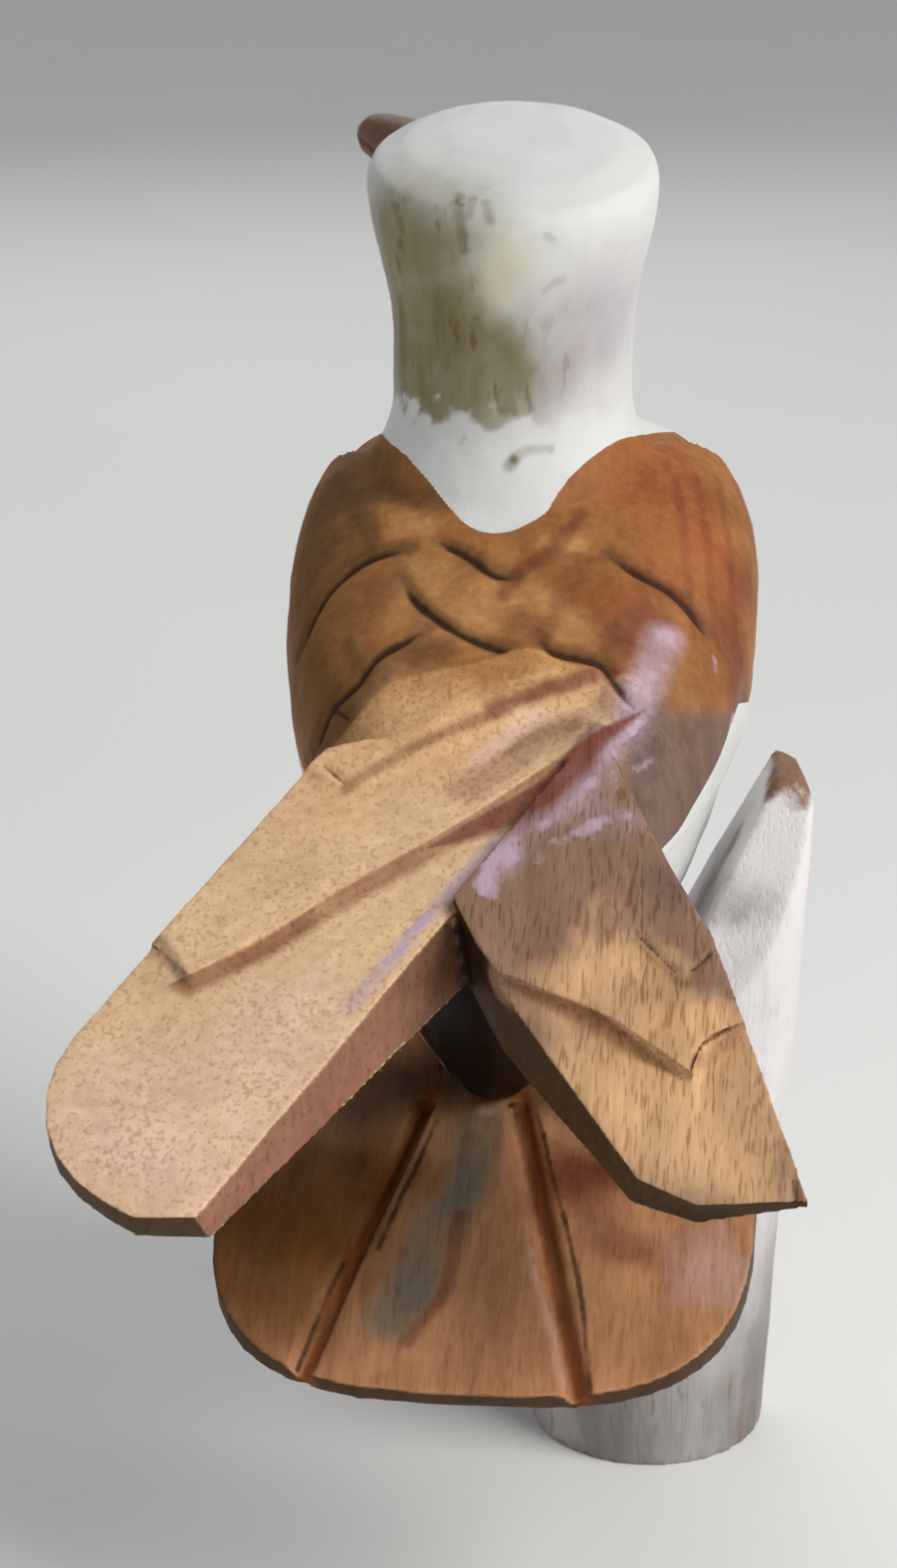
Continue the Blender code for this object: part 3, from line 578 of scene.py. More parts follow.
class Wiring:
    """Short calls for the nodes that the shader trees repeat."""

    def __init__(self, tree):
        self.tree = tree

    def feed(self, socket, value):
        feed(self.tree, socket, value)

    def node(self, kind, feeds, **settings):
        return add_node(self.tree, f"ShaderNode{kind}", feeds, **settings)

    def math(self, operation, a, b, clamp=False):
        return self.node("Math", {0: a, 1: b}, operation=operation, use_clamp=clamp).outputs[0]

    def swing(self, value, amount):
        """How far a noise departs from its middle, times an amount."""
        return self.math("MULTIPLY", self.math("SUBTRACT", value, 0.5), amount)

    def mix(self, share, a, b, blend="MIX"):
        return self.node("Mix", {"Factor": share, 6: a, 7: b}, data_type="RGBA", blend_type=blend).outputs[2]

    def step(self, value, low, high):
        return self.node("MapRange", {"Value": value, "From Min": low, "From Max": high},
                         interpolation_type="SMOOTHSTEP").outputs["Result"]

    def noise(self, vector, scale, detail=3.0, rough=0.55):
        return self.node("TexNoise", {"Vector": vector, "Scale": scale, "Detail": detail,
                                      "Roughness": rough}).outputs[0]

    def stretch(self, vector, amounts):
        return self.node("VectorMath", {0: vector, 1: amounts}, operation="MULTIPLY").outputs[0]

    def value(self, name):
        return self.node("Attribute", {}, attribute_name=name).outputs["Fac"]

    def colour(self, name):
        return self.node("Attribute", {}, attribute_name=name).outputs["Color"]

    def place(self):
        return self.node("TexCoord", {}).outputs["Object"]

    def grain(self, turn):
        """Object coordinates turned so that the grain runs along z."""
        return self.node("Mapping", {"Vector": self.place(), "Rotation": turn}).outputs["Vector"]

    def use(self, tree, **values):
        """A shader group with its named inputs fed; an underscore stands for a space."""
        node = self.node("Group", {}, node_tree=tree)
        for label, value in values.items():
            self.feed(node.inputs[label.replace("_", " ")], value)
        return node.outputs

    def bump(self, height, strength, distance):
        feeds = {"Height": height, "Strength": strength, "Distance": distance}
        return self.node("Bump", feeds).outputs["Normal"]


def shader_tree(name, inputs, outputs):
    tree = bpy.data.node_groups.new(name, "ShaderNodeTree")
    for label, kind, value in inputs:
        socket = tree.interface.new_socket(label, in_out="INPUT", socket_type=f"NodeSocket{kind}")
        if value is not None:
            socket.default_value = value
    for label, kind in outputs:
        tree.interface.new_socket(label, in_out="OUTPUT", socket_type=f"NodeSocket{kind}")
    put = tree.nodes.new("NodeGroupInput").outputs
    return tree, Wiring(tree), put, tree.nodes.new("NodeGroupOutput").inputs


def wood_group():
    """Open-pored wood: short dark pores along the grain, soft streaks and uneven tone."""
    tree, w, put, out = shader_tree(
        "Open-pored wood",
        [("Grain Vector", "Vector", None), ("Tint", "Color", rgba(RAW)), ("Pore Size", "Float", 1500.0),
         ("Pore Length", "Float", 2.0), ("Pore Strength", "Float", 0.6), ("Streaks", "Float", 0.3)],
        [("Color", "Color"), ("Height", "Float")])
    grain = put["Grain Vector"]
    squeeze = w.node("CombineXYZ", {0: 1, 1: 1, 2: w.math("DIVIDE", 1.0, put["Pore Length"])}).outputs[0]
    along = w.stretch(grain, squeeze)
    fleck = w.noise(along, put["Pore Size"], 1.0, 0.4)
    crowd = w.noise(grain, 120.0, 2.0)
    pore = w.step(w.math("ADD", fleck, w.swing(crowd, 0.3)), 0.5, 0.74)
    fibre_run = w.stretch(grain, (1, 1, 0.08))
    fibre = w.noise(fibre_run, 700.0, 4.0, 0.6)
    broad = w.noise(fibre_run, 110.0, 3.0, 0.6)
    patch = w.noise(grain, 60.0, 3.0, 0.6)
    mottle = w.noise(along, 650.0, 3.0, 0.6)
    streak = w.math("MULTIPLY", w.math("ADD", w.swing(fibre, 0.5), w.swing(broad, 1.0)), put["Streaks"])
    tone = w.math("ADD", w.math("ADD", streak, w.swing(patch, 0.5)), w.swing(mottle, 0.55))
    light = w.mix(w.step(tone, -0.3, 0.3), (0.74, 0.68, 0.62, 1), (1.16, 1.15, 1.12, 1))
    plain = w.mix(1.0, put["Tint"], light, "MULTIPLY")
    pored = w.mix(1.0, plain, (0.5, 0.36, 0.27, 1), "MULTIPLY")
    depth = w.math("MULTIPLY", pore, put["Pore Strength"])
    w.feed(out["Color"], w.mix(depth, plain, pored))
    w.feed(out["Height"], w.math("SUBTRACT", w.math("MULTIPLY", fibre, 0.25), depth))
    return tree


def paint_group():
    """Worn chalky paint over wood: it is thin on edges and grain, and holds dirt; its dirt input also carries
    painted shade.
    """
    tree, w, put, out = shader_tree(
        "Worn chalk paint",
        [("Vector", "Vector", None), ("Wood", "Color", rgba(TAN)), ("Cover", "Float", 1.0),
         ("Paint", "Color", rgba(CHALK)), ("Dirt Color", "Color", rgba(CHALK_DIRT_AND_SHADE)), ("Dirt", "Float", 0.2),
         ("Speck Color", "Color", rgba(SPECK)), ("Wear Size", "Float", 160.0)],
        [("Color", "Color"), ("Roughness", "Float"), ("Height", "Float")])
    drag = w.stretch(put["Vector"], (1, 1, 0.3))
    wear = w.noise(put["Vector"], put["Wear Size"], 6.0, 0.62)
    cover = w.step(w.math("ADD", put["Cover"], w.swing(wear, 0.9)), 0.4, 0.62)
    smear = w.noise(drag, 55.0, 4.0, 0.6)
    fleck = w.noise(drag, 420.0, 3.0, 0.6)
    grime_and_shade = w.math("ADD", w.math("MULTIPLY", w.step(smear, 0.3, 0.7), 0.45), 0.5)
    grime_and_shade = w.math("MULTIPLY", grime_and_shade, put["Dirt"], True)
    dirty = w.mix(grime_and_shade, put["Paint"], put["Dirt Color"])
    speck = w.math("MULTIPLY", w.step(fleck, 0.56, 0.7), put["Dirt"], True)
    dirty = w.mix(w.math("MULTIPLY", speck, 0.55), dirty, put["Speck Color"])
    w.feed(out["Color"], w.mix(cover, put["Wood"], dirty))
    w.feed(out["Roughness"], w.math("ADD", w.math("MULTIPLY", wear, 0.3), 0.45))
    height = w.math("ADD", w.math("MULTIPLY", cover, 0.6), w.math("MULTIPLY", smear, 0.4))
    w.feed(out["Height"], height)
    return tree


def cut_stain_and_shade_group():
    """Dark stain that gathers in carved lines, broken up by the grain; on the tail its cut input is painted
    shade.
    """
    tree, w, put, out = shader_tree(
        "Stain in cuts",
        [("Vector", "Vector", None), ("Color", "Color", rgba(TAN)), ("Cut", "Float", 0.0),
         ("Stain", "Color", rgba(STAIN)), ("Strength", "Float", 0.9)],
        [("Color", "Color")])
    broken = w.noise(put["Vector"], 240.0, 3.0, 0.6)
    dark = w.step(w.math("ADD", put["Cut"], w.swing(broken, 0.6)), 0.3, 0.85)
    w.feed(out["Color"], w.mix(w.math("MULTIPLY", dark, put["Strength"]), put["Color"], put["Stain"]))
    return tree


WOOD = wood_group()
PAINT = paint_group()
CUT_STAIN_AND_SHADE = cut_stain_and_shade_group()


def new_material(name):
    finish = bpy.data.materials.new(name)
    finish.use_nodes = True
    return finish, finish.node_tree.nodes["Principled BSDF"].inputs, Wiring(finish.node_tree)


def carved_material(name, turn, pore_size, pore_length, pore_strength, streaks, roughness):
    """Painted and stained carving: reads the skin's own tint, cover, dirt, pores and cut attributes, some of
    which carry painted shade.
    """
    finish, shader, w = new_material(name)
    wood = w.use(WOOD, Grain_Vector=w.grain(turn), Tint=w.colour("tint"), Pore_Size=pore_size,
                 Pore_Length=pore_length, Pore_Strength=w.math("MULTIPLY", w.value("pores"), pore_strength),
                 Streaks=streaks)
    stain = w.use(CUT_STAIN_AND_SHADE, Vector=w.place(), Color=wood["Color"], Cut=w.value("cut"))
    paint = w.use(PAINT, Vector=w.place(), Wood=stain["Color"], Cover=w.value("cover"), Dirt=w.value("dirt"),
                  Paint=w.colour("wash"))
    w.feed(shader["Base Color"], paint["Color"])
    shader["Roughness"].default_value = roughness
    shader["Specular IOR Level"].default_value = 0.2
    w.feed(shader["Normal"], w.bump(w.math("ADD", wood["Height"], paint["Height"]), strength=0.35,
                                    distance=0.0003))
    return finish


# The bird: body, head and wings are carved as one skin and then parted

BIRD_NODES = ("body", "head", "left_wing", "right_wing")
BIRD_FILL = ("neck_dowel", "perch_dowel", "left_wing_peg_1", "left_wing_peg_2", "right_wing_peg_1",
             "right_wing_peg_2")

# Gouge lines on the back and wings, as they show in the picture
DEEP_LINES = {
    "left shoulder scallop": ((299, 660), (312, 625), (329, 595), (352, 572), (377, 558), (410, 552)),
    "left nape scallop": ((439, 542), (455, 550), (472, 559), (494, 575), (517, 581)),
    "middle scallop": ((403, 582), (416, 602), (439, 621), (465, 637), (498, 650), (514, 651)),
    "left flank scallop": ((428, 630), (407, 642), (377, 660), (358, 686), (332, 712), (320, 742),
                           (308, 768)),
    "right middle scallop": ((540, 641), (556, 654), (582, 660), (605, 668), (621, 690), (640, 713)),
    "right shoulder scallop": ((612, 556), (644, 577), (673, 592), (696, 615), (711, 638)),
}
FINE_LINES = {
    "left flank end": ((332, 712), (351, 723)),
    "left wing lap": ((322, 765), (350, 790)),
    "right wing notch": ((637, 934), (660, 957), (684, 981)),
    "right wing notch end": ((692, 976), (706, 965), (718, 952)),
    "right wing cross cut": ((692, 1082), (705, 1052), (748, 1027)),
    "right tip chip": ((797, 1180), (801, 1213)),
    "right tip split": ((804, 1168), (810, 1196)),
}

# Feather step of the left wing and root of the right wing, worn soft
SOFT_STEP = ((200, 985), (262, 953), (342, 904), (422, 859), (482, 824), (542, 785), (602, 743), (640, 717))
SOFT_STEP_WIDTH = 3.0
SOFT_STEP_ROUNDS = 1
SOFT_ROOT = ((613, 735), (637, 800), (660, 861), (680, 915))
SOFT_ROOT_WIDTH = 7
SOFT_ROOT_ROUNDS = 70

# Upper edges of the feather step and of its root, with painted shade laid under them, the first tier's groove
# and the inner ridge
STEP_EDGE = ((186, 981), (260, 945), (340, 895), (420, 850), (480, 815), (540, 775), (600, 735), (644, 712))
ROOT_BEVEL = ((425, 854), (470, 826), (532, 791), (560, 768), (596, 736), (646, 714))
FIRST_TIER = ((350, 790), (373, 775), (430, 743), (497, 715), (537, 697), (591, 678))
INNER_RIDGE = ((350, 1012), (400, 955), (440, 908), (480, 864), (537, 812), (591, 774), (646, 722))
RIGHT_TIER = ((505, 984), (545, 996), (585, 1008), (620, 1030), (655, 1058), (690, 1086))

# Edge of the white nape
NAPE_EDGE = ((384, 436), (395, 447), (410, 460), (425, 477), (439, 494), (455, 514), (472, 529), (491, 535),
             (517, 532), (546, 517), (556, 503), (566, 488), (580, 472), (595, 459), (611, 448), (628, 440),
             (664, 434))

# Left edge of the white strip on the right flank, and upper edge of the pale wood over the left wing
FLANK_STRIP = ((742, 706), (722, 762), (700, 803), (677, 844), (659, 881), (648, 900))
PALE_EDGE = ((320, 768), (345, 738), (384, 692), (428, 676), (478, 666), (528, 651), (562, 662), (602, 682),
             (638, 712))

# Bands under such edges: path, width in millimetres, share of the length that tapers at each end; the step,
# tier and bevel bands are painted shade on the risers under their edges
PALE_BAND = (PALE_EDGE, 14)
STEP_SHADE_BAND = (STEP_EDGE, 4.4)
TIER_SHADE_BAND = (RIGHT_TIER, 5, 0.35)
BEVEL_SHADE_BAND = (ROOT_BEVEL, 6.5, 0.3)

# Steps of the wings that keep the stain of the tops instead of the painted shade of end faces, with how wide:
# path, width in millimetres
KEPT_STEPS = ((RIGHT_TIER, 4.5), (STEP_EDGE, 6), (FINE_LINES["right wing cross cut"], 3.5))

# How far wing faces lean away from the back's slope, and to a side, where they take painted shade
END_FACING = (0.55, 0.25)
SIDE_FACING = (0.3, 0.7)

# Soft edge of the white paint, cover that counts as full, shares of open pores, least grime
PAINT_EDGE = 0.4 * MM
FULL_COVER = 0.98
LEFT_PORES = 0.9
PALE_PORES = 0.8
LEAST_PORES = 0.15
LEAST_DIRT = 0.04

# The mantle's lower edge along the flank, its front, and the round corner between them
MANTLE_EDGE_Z = 0.1313
MANTLE_EDGE_Y = -0.018
MANTLE_EDGE_FALL = math.tan(math.radians(13))
MANTLE_FRONT_Y = -0.040
MANTLE_CORNER = 0.016

# Where the painted shade of the rump begins and is full: how far it faces back, and its place
RUMP_FACING = (0.25, 0.5)
RUMP_X = (0.03, 0.026)
RUMP_Y = (0.044, 0.052)
RUMP_Z = (0.124, 0.116)

# Where the grey of the right flank begins and is full: across and down the picture, and along the body
GREY_ACROSS = (605, 640)
GREY_DOWN = (702, 735)
GREY_Y = (0.02, 0.03)

# Stains of the wood and painted shade on it, in the order in which they are laid: place or path, size,
# colour, strength
RIGHT_STREAKS = (690, 712, 733)
MANTLE_STAINS_AND_SHADE = (
    ((330, 510), 24, OLIVE_BROWN, 1),
    ((300, 590), 17, OLIVE_BROWN, 1),
    ((312, 690), 20, OLIVE_BROWN, 1),
    ((370, 470), 14, OLIVE_BROWN, 1),
    ((470, 605), 15, TAN, 0.8),
    ((420, 580), 10, TAN, 0.8),
    ((420, 525), 8, TAN, 0.8),
    ((560, 620), 9, TAN, 0.8),
    ((565, 545), 5, TAN, 0.8),
    ((660, 480), 20, ORANGE, 0.95),
    ((700, 560), 18, ORANGE, 0.95),
    ((620, 600), 8, ORANGE, 0.95),
    ((750, 590), 12, RED_BROWN, 0.75),
    ((735, 660), 12, RED_BROWN, 0.75),
    ((620, 645), 8, RED_BROWN, 0.75),
    ((650, 620), 7, RED_BROWN, 0.75),
    (((370, 492), (405, 492), (440, 505)), 4.5, DARK_OLIVE, 0.55),
    (((335, 480), (355, 505), (372, 545)), 3, DARK_OLIVE, 0.5),
    (((525, 572), (553, 553), (576, 526), (584, 515)), 2.4, RED_BROWN, 0.7),
    (((553, 553), (590, 562), (615, 558)), 2, RED_BROWN, 0.4),
    (((580, 576), (563, 608), (540, 641)), 3, RED_BROWN, 0.55),
    (((517, 581), (506, 598)), 2.2, RED_BROWN, 0.6),
    (((351, 647), (362, 670)), 2.2, DARK_OLIVE, 0.5),
    ((526, 624), 5, RED_BROWN, 0.5),
    *((path, 3, DARK_OLIVE, 0.45) for path in DEEP_LINES.values()),
    *((((px - 12, 480), (px, 560), (px + 6, 640)), 1.6, RED_BROWN, 0.4) for px in RIGHT_STREAKS),
    # Painted shade along the left flank above the pale wood
    (((440, 655), (395, 668), (355, 712), (330, 750)), 5, DARK_OLIVE, 0.55),
)
PALE_STAINS = (
    ((520, 668), 5, MANTLE, 0.5),
)
LEFT_WING_STAINS_AND_SHADE = (
    (((325, 766), (350, 750), (400, 738), (470, 718), (530, 697), (585, 685)), 5, RAW_TAN, 0.75),
    ((420, 740), 18, RAW_TAN, 0.9),
    ((330, 800), 12, RAW_TAN, 0.7),
    ((150, 1130), 24, RAW_PINK, 0.8),
    ((290, 1040), 16, RAW_PINK, 0.7),
    # Painted shadow line along the first tier's groove
    (FIRST_TIER, 1.8, STEP_SHADE, 0.6),
    (((497, 715), (545, 695), (592, 677)), 2.6, RED_BROWN, 0.55),
    (((470, 792), (520, 757), (580, 728)), 5, PINK_BROWN, 0.7),
    (((510, 752), (545, 738), (580, 728)), 2, RED_BROWN, 0.35),
    (((478, 762), (518, 737), (540, 722)), 2.2, RAW_PINK, 0.7),
)
FLANK_STAINS_AND_SHADE = (
    ((606, 697), 6, RED_BROWN, 0.55),
    ((628, 708), 4, LILAC, 0.5),
    (INNER_RIDGE, 2.2, LILAC, 0.6),
    # Painted shade in the V-cut at the end of the left wing's tier
    (((160, 945), (172, 960), (186, 988)), 1.6, SHADED_SIDE, 0.6),
    (((745, 715), (725, 760), (700, 830), (675, 880)), 9, FLANK_GREY, 1),
    (((650, 730), (660, 790), (675, 850)), 7, FLANK_GREY, 0.9),
    ((690, 770), 18, FLANK_GREY, 1),
    ((655, 760), 12, FLANK_GREY, 0.8),
)
RIGHT_WING_STAINS = (
    ((620, 860), 14, GREY_BROWN, 0.6),
    (((640, 715), (600, 765), (555, 808), (500, 865)), 5, LILAC, 0.5),
    (((668, 640), (655, 672), (640, 702)), 5, LILAC, 0.8),
    ((600, 810), 9, LILAC, 0.4),
    ((640, 1090), 24, RAW_TAN, 1),
    ((590, 985), 10, RAW_TAN, 0.95),
    ((605, 955), 9, RAW_TAN, 0.9),
    ((655, 965), 8, RAW_TAN, 0.8),
    ((740, 1150), 16, RAW_TAN, 1),
    ((690, 1020), 10, RAW_TAN, 0.9),
)
# Painted shade under the right wing's cross cut and notch
RIGHT_CUT_SHADES = (
    (((700, 1068), (725, 1050), (742, 1040)), 1.8, PINK_BROWN, 0.5),
    (((640, 945), (665, 970), (690, 988), (708, 966)), 1.2, TIER_SHADE, 0.6),
)
# Painted shade: a dark spot in the fork between the wings
FORK_SHADE = ((478, 940), 14)
# Painted shade: lines along the fork and along the wings' shaded end faces
END_SHADES = (
    (((465, 934), (467, 958), (472, 992)), 2.6, RUMP_SHADE, 1),
    (((660, 1218), (704, 1224), (750, 1222), (796, 1218)), 2.6, END_SHADE, 1),
    (((62, 1180), (72, 1205), (98, 1231), (124, 1243)), 1.8, END_SHADE, 0.9),
)

# Smears of lilac white over the wing roots: path, width, strength
LILAC_SMEARS = (
    (((668, 640), (655, 672), (640, 702)), 5, 0.5),
    (((716, 655), (722, 692)), 2.2, 0.5),
    (INNER_RIDGE, 2.0, 0.55),
    (((484, 895), (500, 868), (540, 826), (590, 785)), 5, 0.62),
    (((540, 862), (570, 842), (625, 815)), 3.5, 0.55),
    (((610, 790), (650, 760)), 4, 0.48),
    (((740, 690), (728, 770)), 4, 0.4),
)

# Where the grime and painted shade of the neck end, how uneven that edge is, and the tones of the chalk
# paint; the olive on the head's left side is partly painted shade
NECK_FOOT = (440, 416)
NECK_EDGE_SIZE = 6 * MM
NECK_EDGE_SWING = 2
NECK_EDGE_SOFT = 1.6 * MM
CHALK_DRIFT = 0.35
CHALK_STAINS_AND_SHADE = (
    # Olive on the head's left side: partly its tone, partly painted shade
    ((412, 290), 26, OLIVE_CHALK, 0.95),
    ((440, 380), 22, OLIVE_CHALK, 0.9),
    ((506, 272), 9, CREAM, 0.8),
    ((610, 320), 20, ROSE_WHITE, 0.9),
    ((560, 380), 9, ROSE_WHITE, 0.7),
)

# Grime on the head and nape, with painted shade in the first three spots on the head's left side: place or
# path, size, strength; the crown's rim stays clean
CROWN_RIM = ((400, 160), (440, 150), (530, 145), (620, 160))
DIRT_AND_SHADE_SPOTS = (
    ((408, 255), 22, 0.75),
    ((430, 375), 22, 0.8),
    ((385, 330), 18, 0.45),
    ((490, 385), 16, 0.5),
    ((550, 370), 15, 0.4),
    ((470, 250), 12, 0.2),
    ((506, 270), 8, -0.3),
)
DIRT_STROKES = (
    (((461, 197), (463, 225), (466, 250)), 1.4, 0.55),
    (((474, 200), (471, 216)), 1.2, 0.4),
    (((487, 203), (492, 222)), 1.3, 0.4),
    (((396, 205), (404, 232)), 1.3, 0.4),
    (((505, 384), (507, 411)), 1.6, 0.9),
    (((512, 398), (516, 414)), 1.3, 0.5),
    (((548, 292), (556, 284), (566, 281)), 1.1, 0.35),
    (((549, 237), (555, 241)), 1.0, 0.3),
    (((445, 356), (448, 368)), 1.4, 0.6),
    (((424, 372), (426, 396)), 1.5, 0.5),
    (((404, 300), (404, 360)), 1.5, 0.45),
    (((440, 300), (443, 340)), 1.3, 0.4),
    (((478, 320), (480, 352)), 1.3, 0.35),
)
NAPE_STROKES = (
    (((511, 469), (516, 463)), 1.5, 0.9),
    (((516, 462), (530, 453), (552, 450)), 1.3, 0.55),
)

# Record slot, turn of the grain, pore size, pore length, pore strength, streaks and roughness of each piece
PIECE_FINISHES = {
    "body": ("chalky_white", (0.2, 0.1, 0), 1500.0, 4.0, 0.6, 0.9, 0.6),
    "head": ("chalky_white", (0.1, 0.1, 0), 1500.0, 3.0, 0.6, 0.4, 0.6),
    "left_wing": ("raw_wood", (0.1, 0.25, 0), 1300.0, 1.8, 0.58, 0.3, 0.6),
    "right_wing": ("raw_wood", (BACK_SLOPE - math.pi / 2, 0, 0), 2100.0, 8.0, 0.65, 0.8, 0.6),
}


def nearness(mesh):
    """The skin with how far each of its points lies from each of the bird's solids."""
    probes = {node: new_object(f"probe_{node}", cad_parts[node].data.copy()) for node in BIRD_NODES}
    mesh = run_tree(mesh, nearness_tree(BIRD_NODES), {**probes, "Material": None})
    for probe in probes.values():
        bpy.data.objects.remove(probe)
    return mesh, {node: read(mesh, f"near_{node}") for node in BIRD_NODES}


def build_bird():
    mesh = voxel_mesh("bird", BIRD_NODES + BIRD_FILL, BIRD_VOXEL, INFLATE)
    set_points(mesh, points(mesh) - normals(mesh) * INFLATE)
    mesh, near = nearness(mesh)
    seam = np.zeros(len(mesh.vertices))
    for node in BIRD_NODES[1:]:
        seam = np.maximum(seam, 1 - np.maximum(near["body"], near[node]) / SEAM_REACH)
    relax(mesh, SEAM_ROUNDS, smoothstep(0, 0.5, seam))
    relax(mesh, HEAD_ROUNDS, within(near["head"], 0.3, 2))
    relax(mesh, EDGE_ROUNDS)
    worn = Painter(Target(mesh), RAW)
    relax(mesh, SOFT_STEP_ROUNDS, worn.stroke(SOFT_STEP, SOFT_STEP_WIDTH))
    relax(mesh, SOFT_ROOT_ROUNDS, worn.stroke(SOFT_ROOT, SOFT_ROOT_WIDTH))
    target = Target(mesh)
    mesh = carve(mesh, target.thrown(FINE_LINES.values()), width=1.1, depth=0.6, mark_size=3, mark_depth=0.12,
                 seed=6)
    fine = read(mesh, "cut")
    mesh = carve(mesh, target.thrown(DEEP_LINES.values()), width=1.9, depth=1.2, mark_size=9, mark_depth=0.7,
                 seed=3)
    write(mesh, "cut", np.maximum(read(mesh, "cut"), 0.8 * fine))
    paint_bird(mesh, near)
    part_bird(mesh, near)


def brown_places(co, n, near):
    """Masks of all wood that the white paint leaves bare, and of the painted shade on it at the rump, under
    the wings and in the fork.
    """
    x, y, z = co.T
    across, down = pixels(co).T
    nape = (down - np.interp(across, *drawn(NAPE_EDGE).T)) / PIXELS_PER_MM * MM
    flank = MANTLE_EDGE_Z - (y - MANTLE_EDGE_Y) * MANTLE_EDGE_FALL
    corner = np.hypot(np.maximum(MANTLE_CORNER - (z - flank), 0),
                      np.maximum(MANTLE_CORNER - (y - MANTLE_FRONT_Y), 0))
    apart = np.minimum(nape, MANTLE_CORNER - corner)
    wing = np.minimum(near["left_wing"], near["right_wing"])
    brown = np.maximum(smoothstep(-PAINT_EDGE, PAINT_EDGE, apart), within(wing, 0.5, 1.5))
    strip = drawn(FLANK_STRIP)
    bare = smoothstep(-1, 1, across - np.interp(down, strip[:, 1], strip[:, 0])) * (x < 0)
    bare *= smoothstep(strip[0, 1] - 3, strip[0, 1] + 3, down) * smoothstep(0.5 * MM, 2 * MM, wing)
    brown *= 1 - bare
    # Painted shade in the fork, on the rump and on the faces tucked under the wings
    fork = within(np.maximum(near["left_wing"], near["right_wing"]), 2, 4)
    behind = smoothstep(*RUMP_Y, y)
    rump = smoothstep(*RUMP_FACING, n[:, 1]) * behind * smoothstep(*RUMP_X, abs(x)) * smoothstep(*RUMP_Z, z)
    tucked = behind * within(wing, 3, 5) * smoothstep(0.3, 0, n[:, 2])
    dark = np.maximum(np.maximum(rump, tucked), fork)
    return np.maximum(brown, dark), dark


def stain_and_shade_bird(p, n, near, dark):
    """Stains the bare wood and lays painted shade on it; returns the masks of the wings, the pale wood and
    the bevel's painted shade.
    """
    p.stain(MANTLE_STAINS_AND_SHADE)
    pale = p.band(*PALE_BAND)
    p.lay(pale * 0.85, TAN)
    p.stain(PALE_STAINS)
    # Painted shade under the wings
    p.lay(dark, RUMP_SHADE)
    left = within(near["left_wing"], 0.5, 2)
    right = within(near["right_wing"], 0.5, 2)
    p.lay(left, RAW)
    p.lay(right, GREY_BROWN)
    p.stain(LEFT_WING_STAINS_AND_SHADE)
    # Painted shade on the feather step's riser
    p.lay(p.band(*STEP_SHADE_BAND) * 0.9, STEP_SHADE)
    p.stain(FLANK_STAINS_AND_SHADE)
    across, down = pixels(p.target.co).T
    grey = smoothstep(*GREY_ACROSS, across) * smoothstep(*GREY_DOWN, down)
    grey *= smoothstep(*GREY_Y, p.target.co[:, 1]) * (1 - right)
    p.lay(grey * (1 - left) * p.mottle, FLANK_GREY)
    p.stain(RIGHT_WING_STAINS)
    # Painted shade under the right wing's tier and cuts
    p.lay(p.band(*TIER_SHADE_BAND) * 0.85, TIER_SHADE)
    p.stain(RIGHT_CUT_SHADES)
    # Painted shade on faces that lean away from the back: the wings' end faces, their inner sides and the
    # fork; the left inner side takes pink brown, its own tone with painted shade in it
    steps = np.max([p.stroke(*step) for step in KEPT_STEPS], axis=0)
    slanted = smoothstep(*END_FACING, n @ np.array(BACK_NORMAL)) * (1 - np.clip(2 * steps, 0, 1))
    p.lay(slanted * np.maximum(left, right) * 0.95, END_SHADE)
    p.lay(slanted * left * smoothstep(*SIDE_FACING, -n[:, 0]) * 0.95, PINK_BROWN)
    p.lay(slanted * right * smoothstep(*SIDE_FACING, n[:, 0]) * 0.8, SHADED_SIDE)
    p.lay(p.spot(*FORK_SHADE) * slanted * 0.9, RUMP_SHADE)
    p.stain(END_SHADES)
    # Painted shade at the feather step's root, in red brown
    bevel = np.clip(p.band(*BEVEL_SHADE_BAND) * 1.25, 0, 1)
    p.lay(bevel * 0.95, BEVEL_RED_SHADE)
    return left, right, pale, bevel


def chalk_bird(mesh, p, cover, bevel):
    """Lays the worn chalk paint with its lilac smears, tones and grime, and painted shade on the head's left
    side.
    """
    smear = np.zeros(len(cover))
    for path, width, strength in LILAC_SMEARS:
        smear = np.maximum(smear, p.stroke(path, width) * strength)
    smear *= 1 - bevel
    write(mesh, "cover", np.maximum(cover, smear))
    chalk = Painter(p.target, CHALK, 2)
    chalk.drift *= CHALK_DRIFT
    uneven = NECK_EDGE_SWING * wobble(p.target.co, NECK_EDGE_SIZE, 5)[:, 2]
    above = p.target.co[:, 2] - p.target.hit(*NECK_FOOT).z + uneven
    neck = smoothstep(-NECK_EDGE_SOFT, NECK_EDGE_SOFT, above)
    # Chalk tones, with olive painted shade on the head's left side
    chalk.stain(CHALK_STAINS_AND_SHADE, neck)
    write_colour(mesh, "wash", np.where((smear > cover)[:, None], linear(LILAC), chalk.colour))
    # Grime, with painted shade on the head's left side
    dirt = np.zeros(len(cover))
    for place, radius, strength in DIRT_AND_SHADE_SPOTS:
        dirt += strength * chalk.spot(place, radius)
    dirt *= 1 - 0.9 * np.clip(chalk.stroke(CROWN_RIM, 12) * 1.3, 0, 1)
    for path, width, strength in DIRT_STROKES:
        dirt += strength * p.stroke(path, width)
    dirt = np.minimum(dirt, 1) * neck
    for path, width, strength in NAPE_STROKES:
        dirt += strength * p.stroke(path, width)
    write(mesh, "dirt", LEAST_DIRT + dirt)


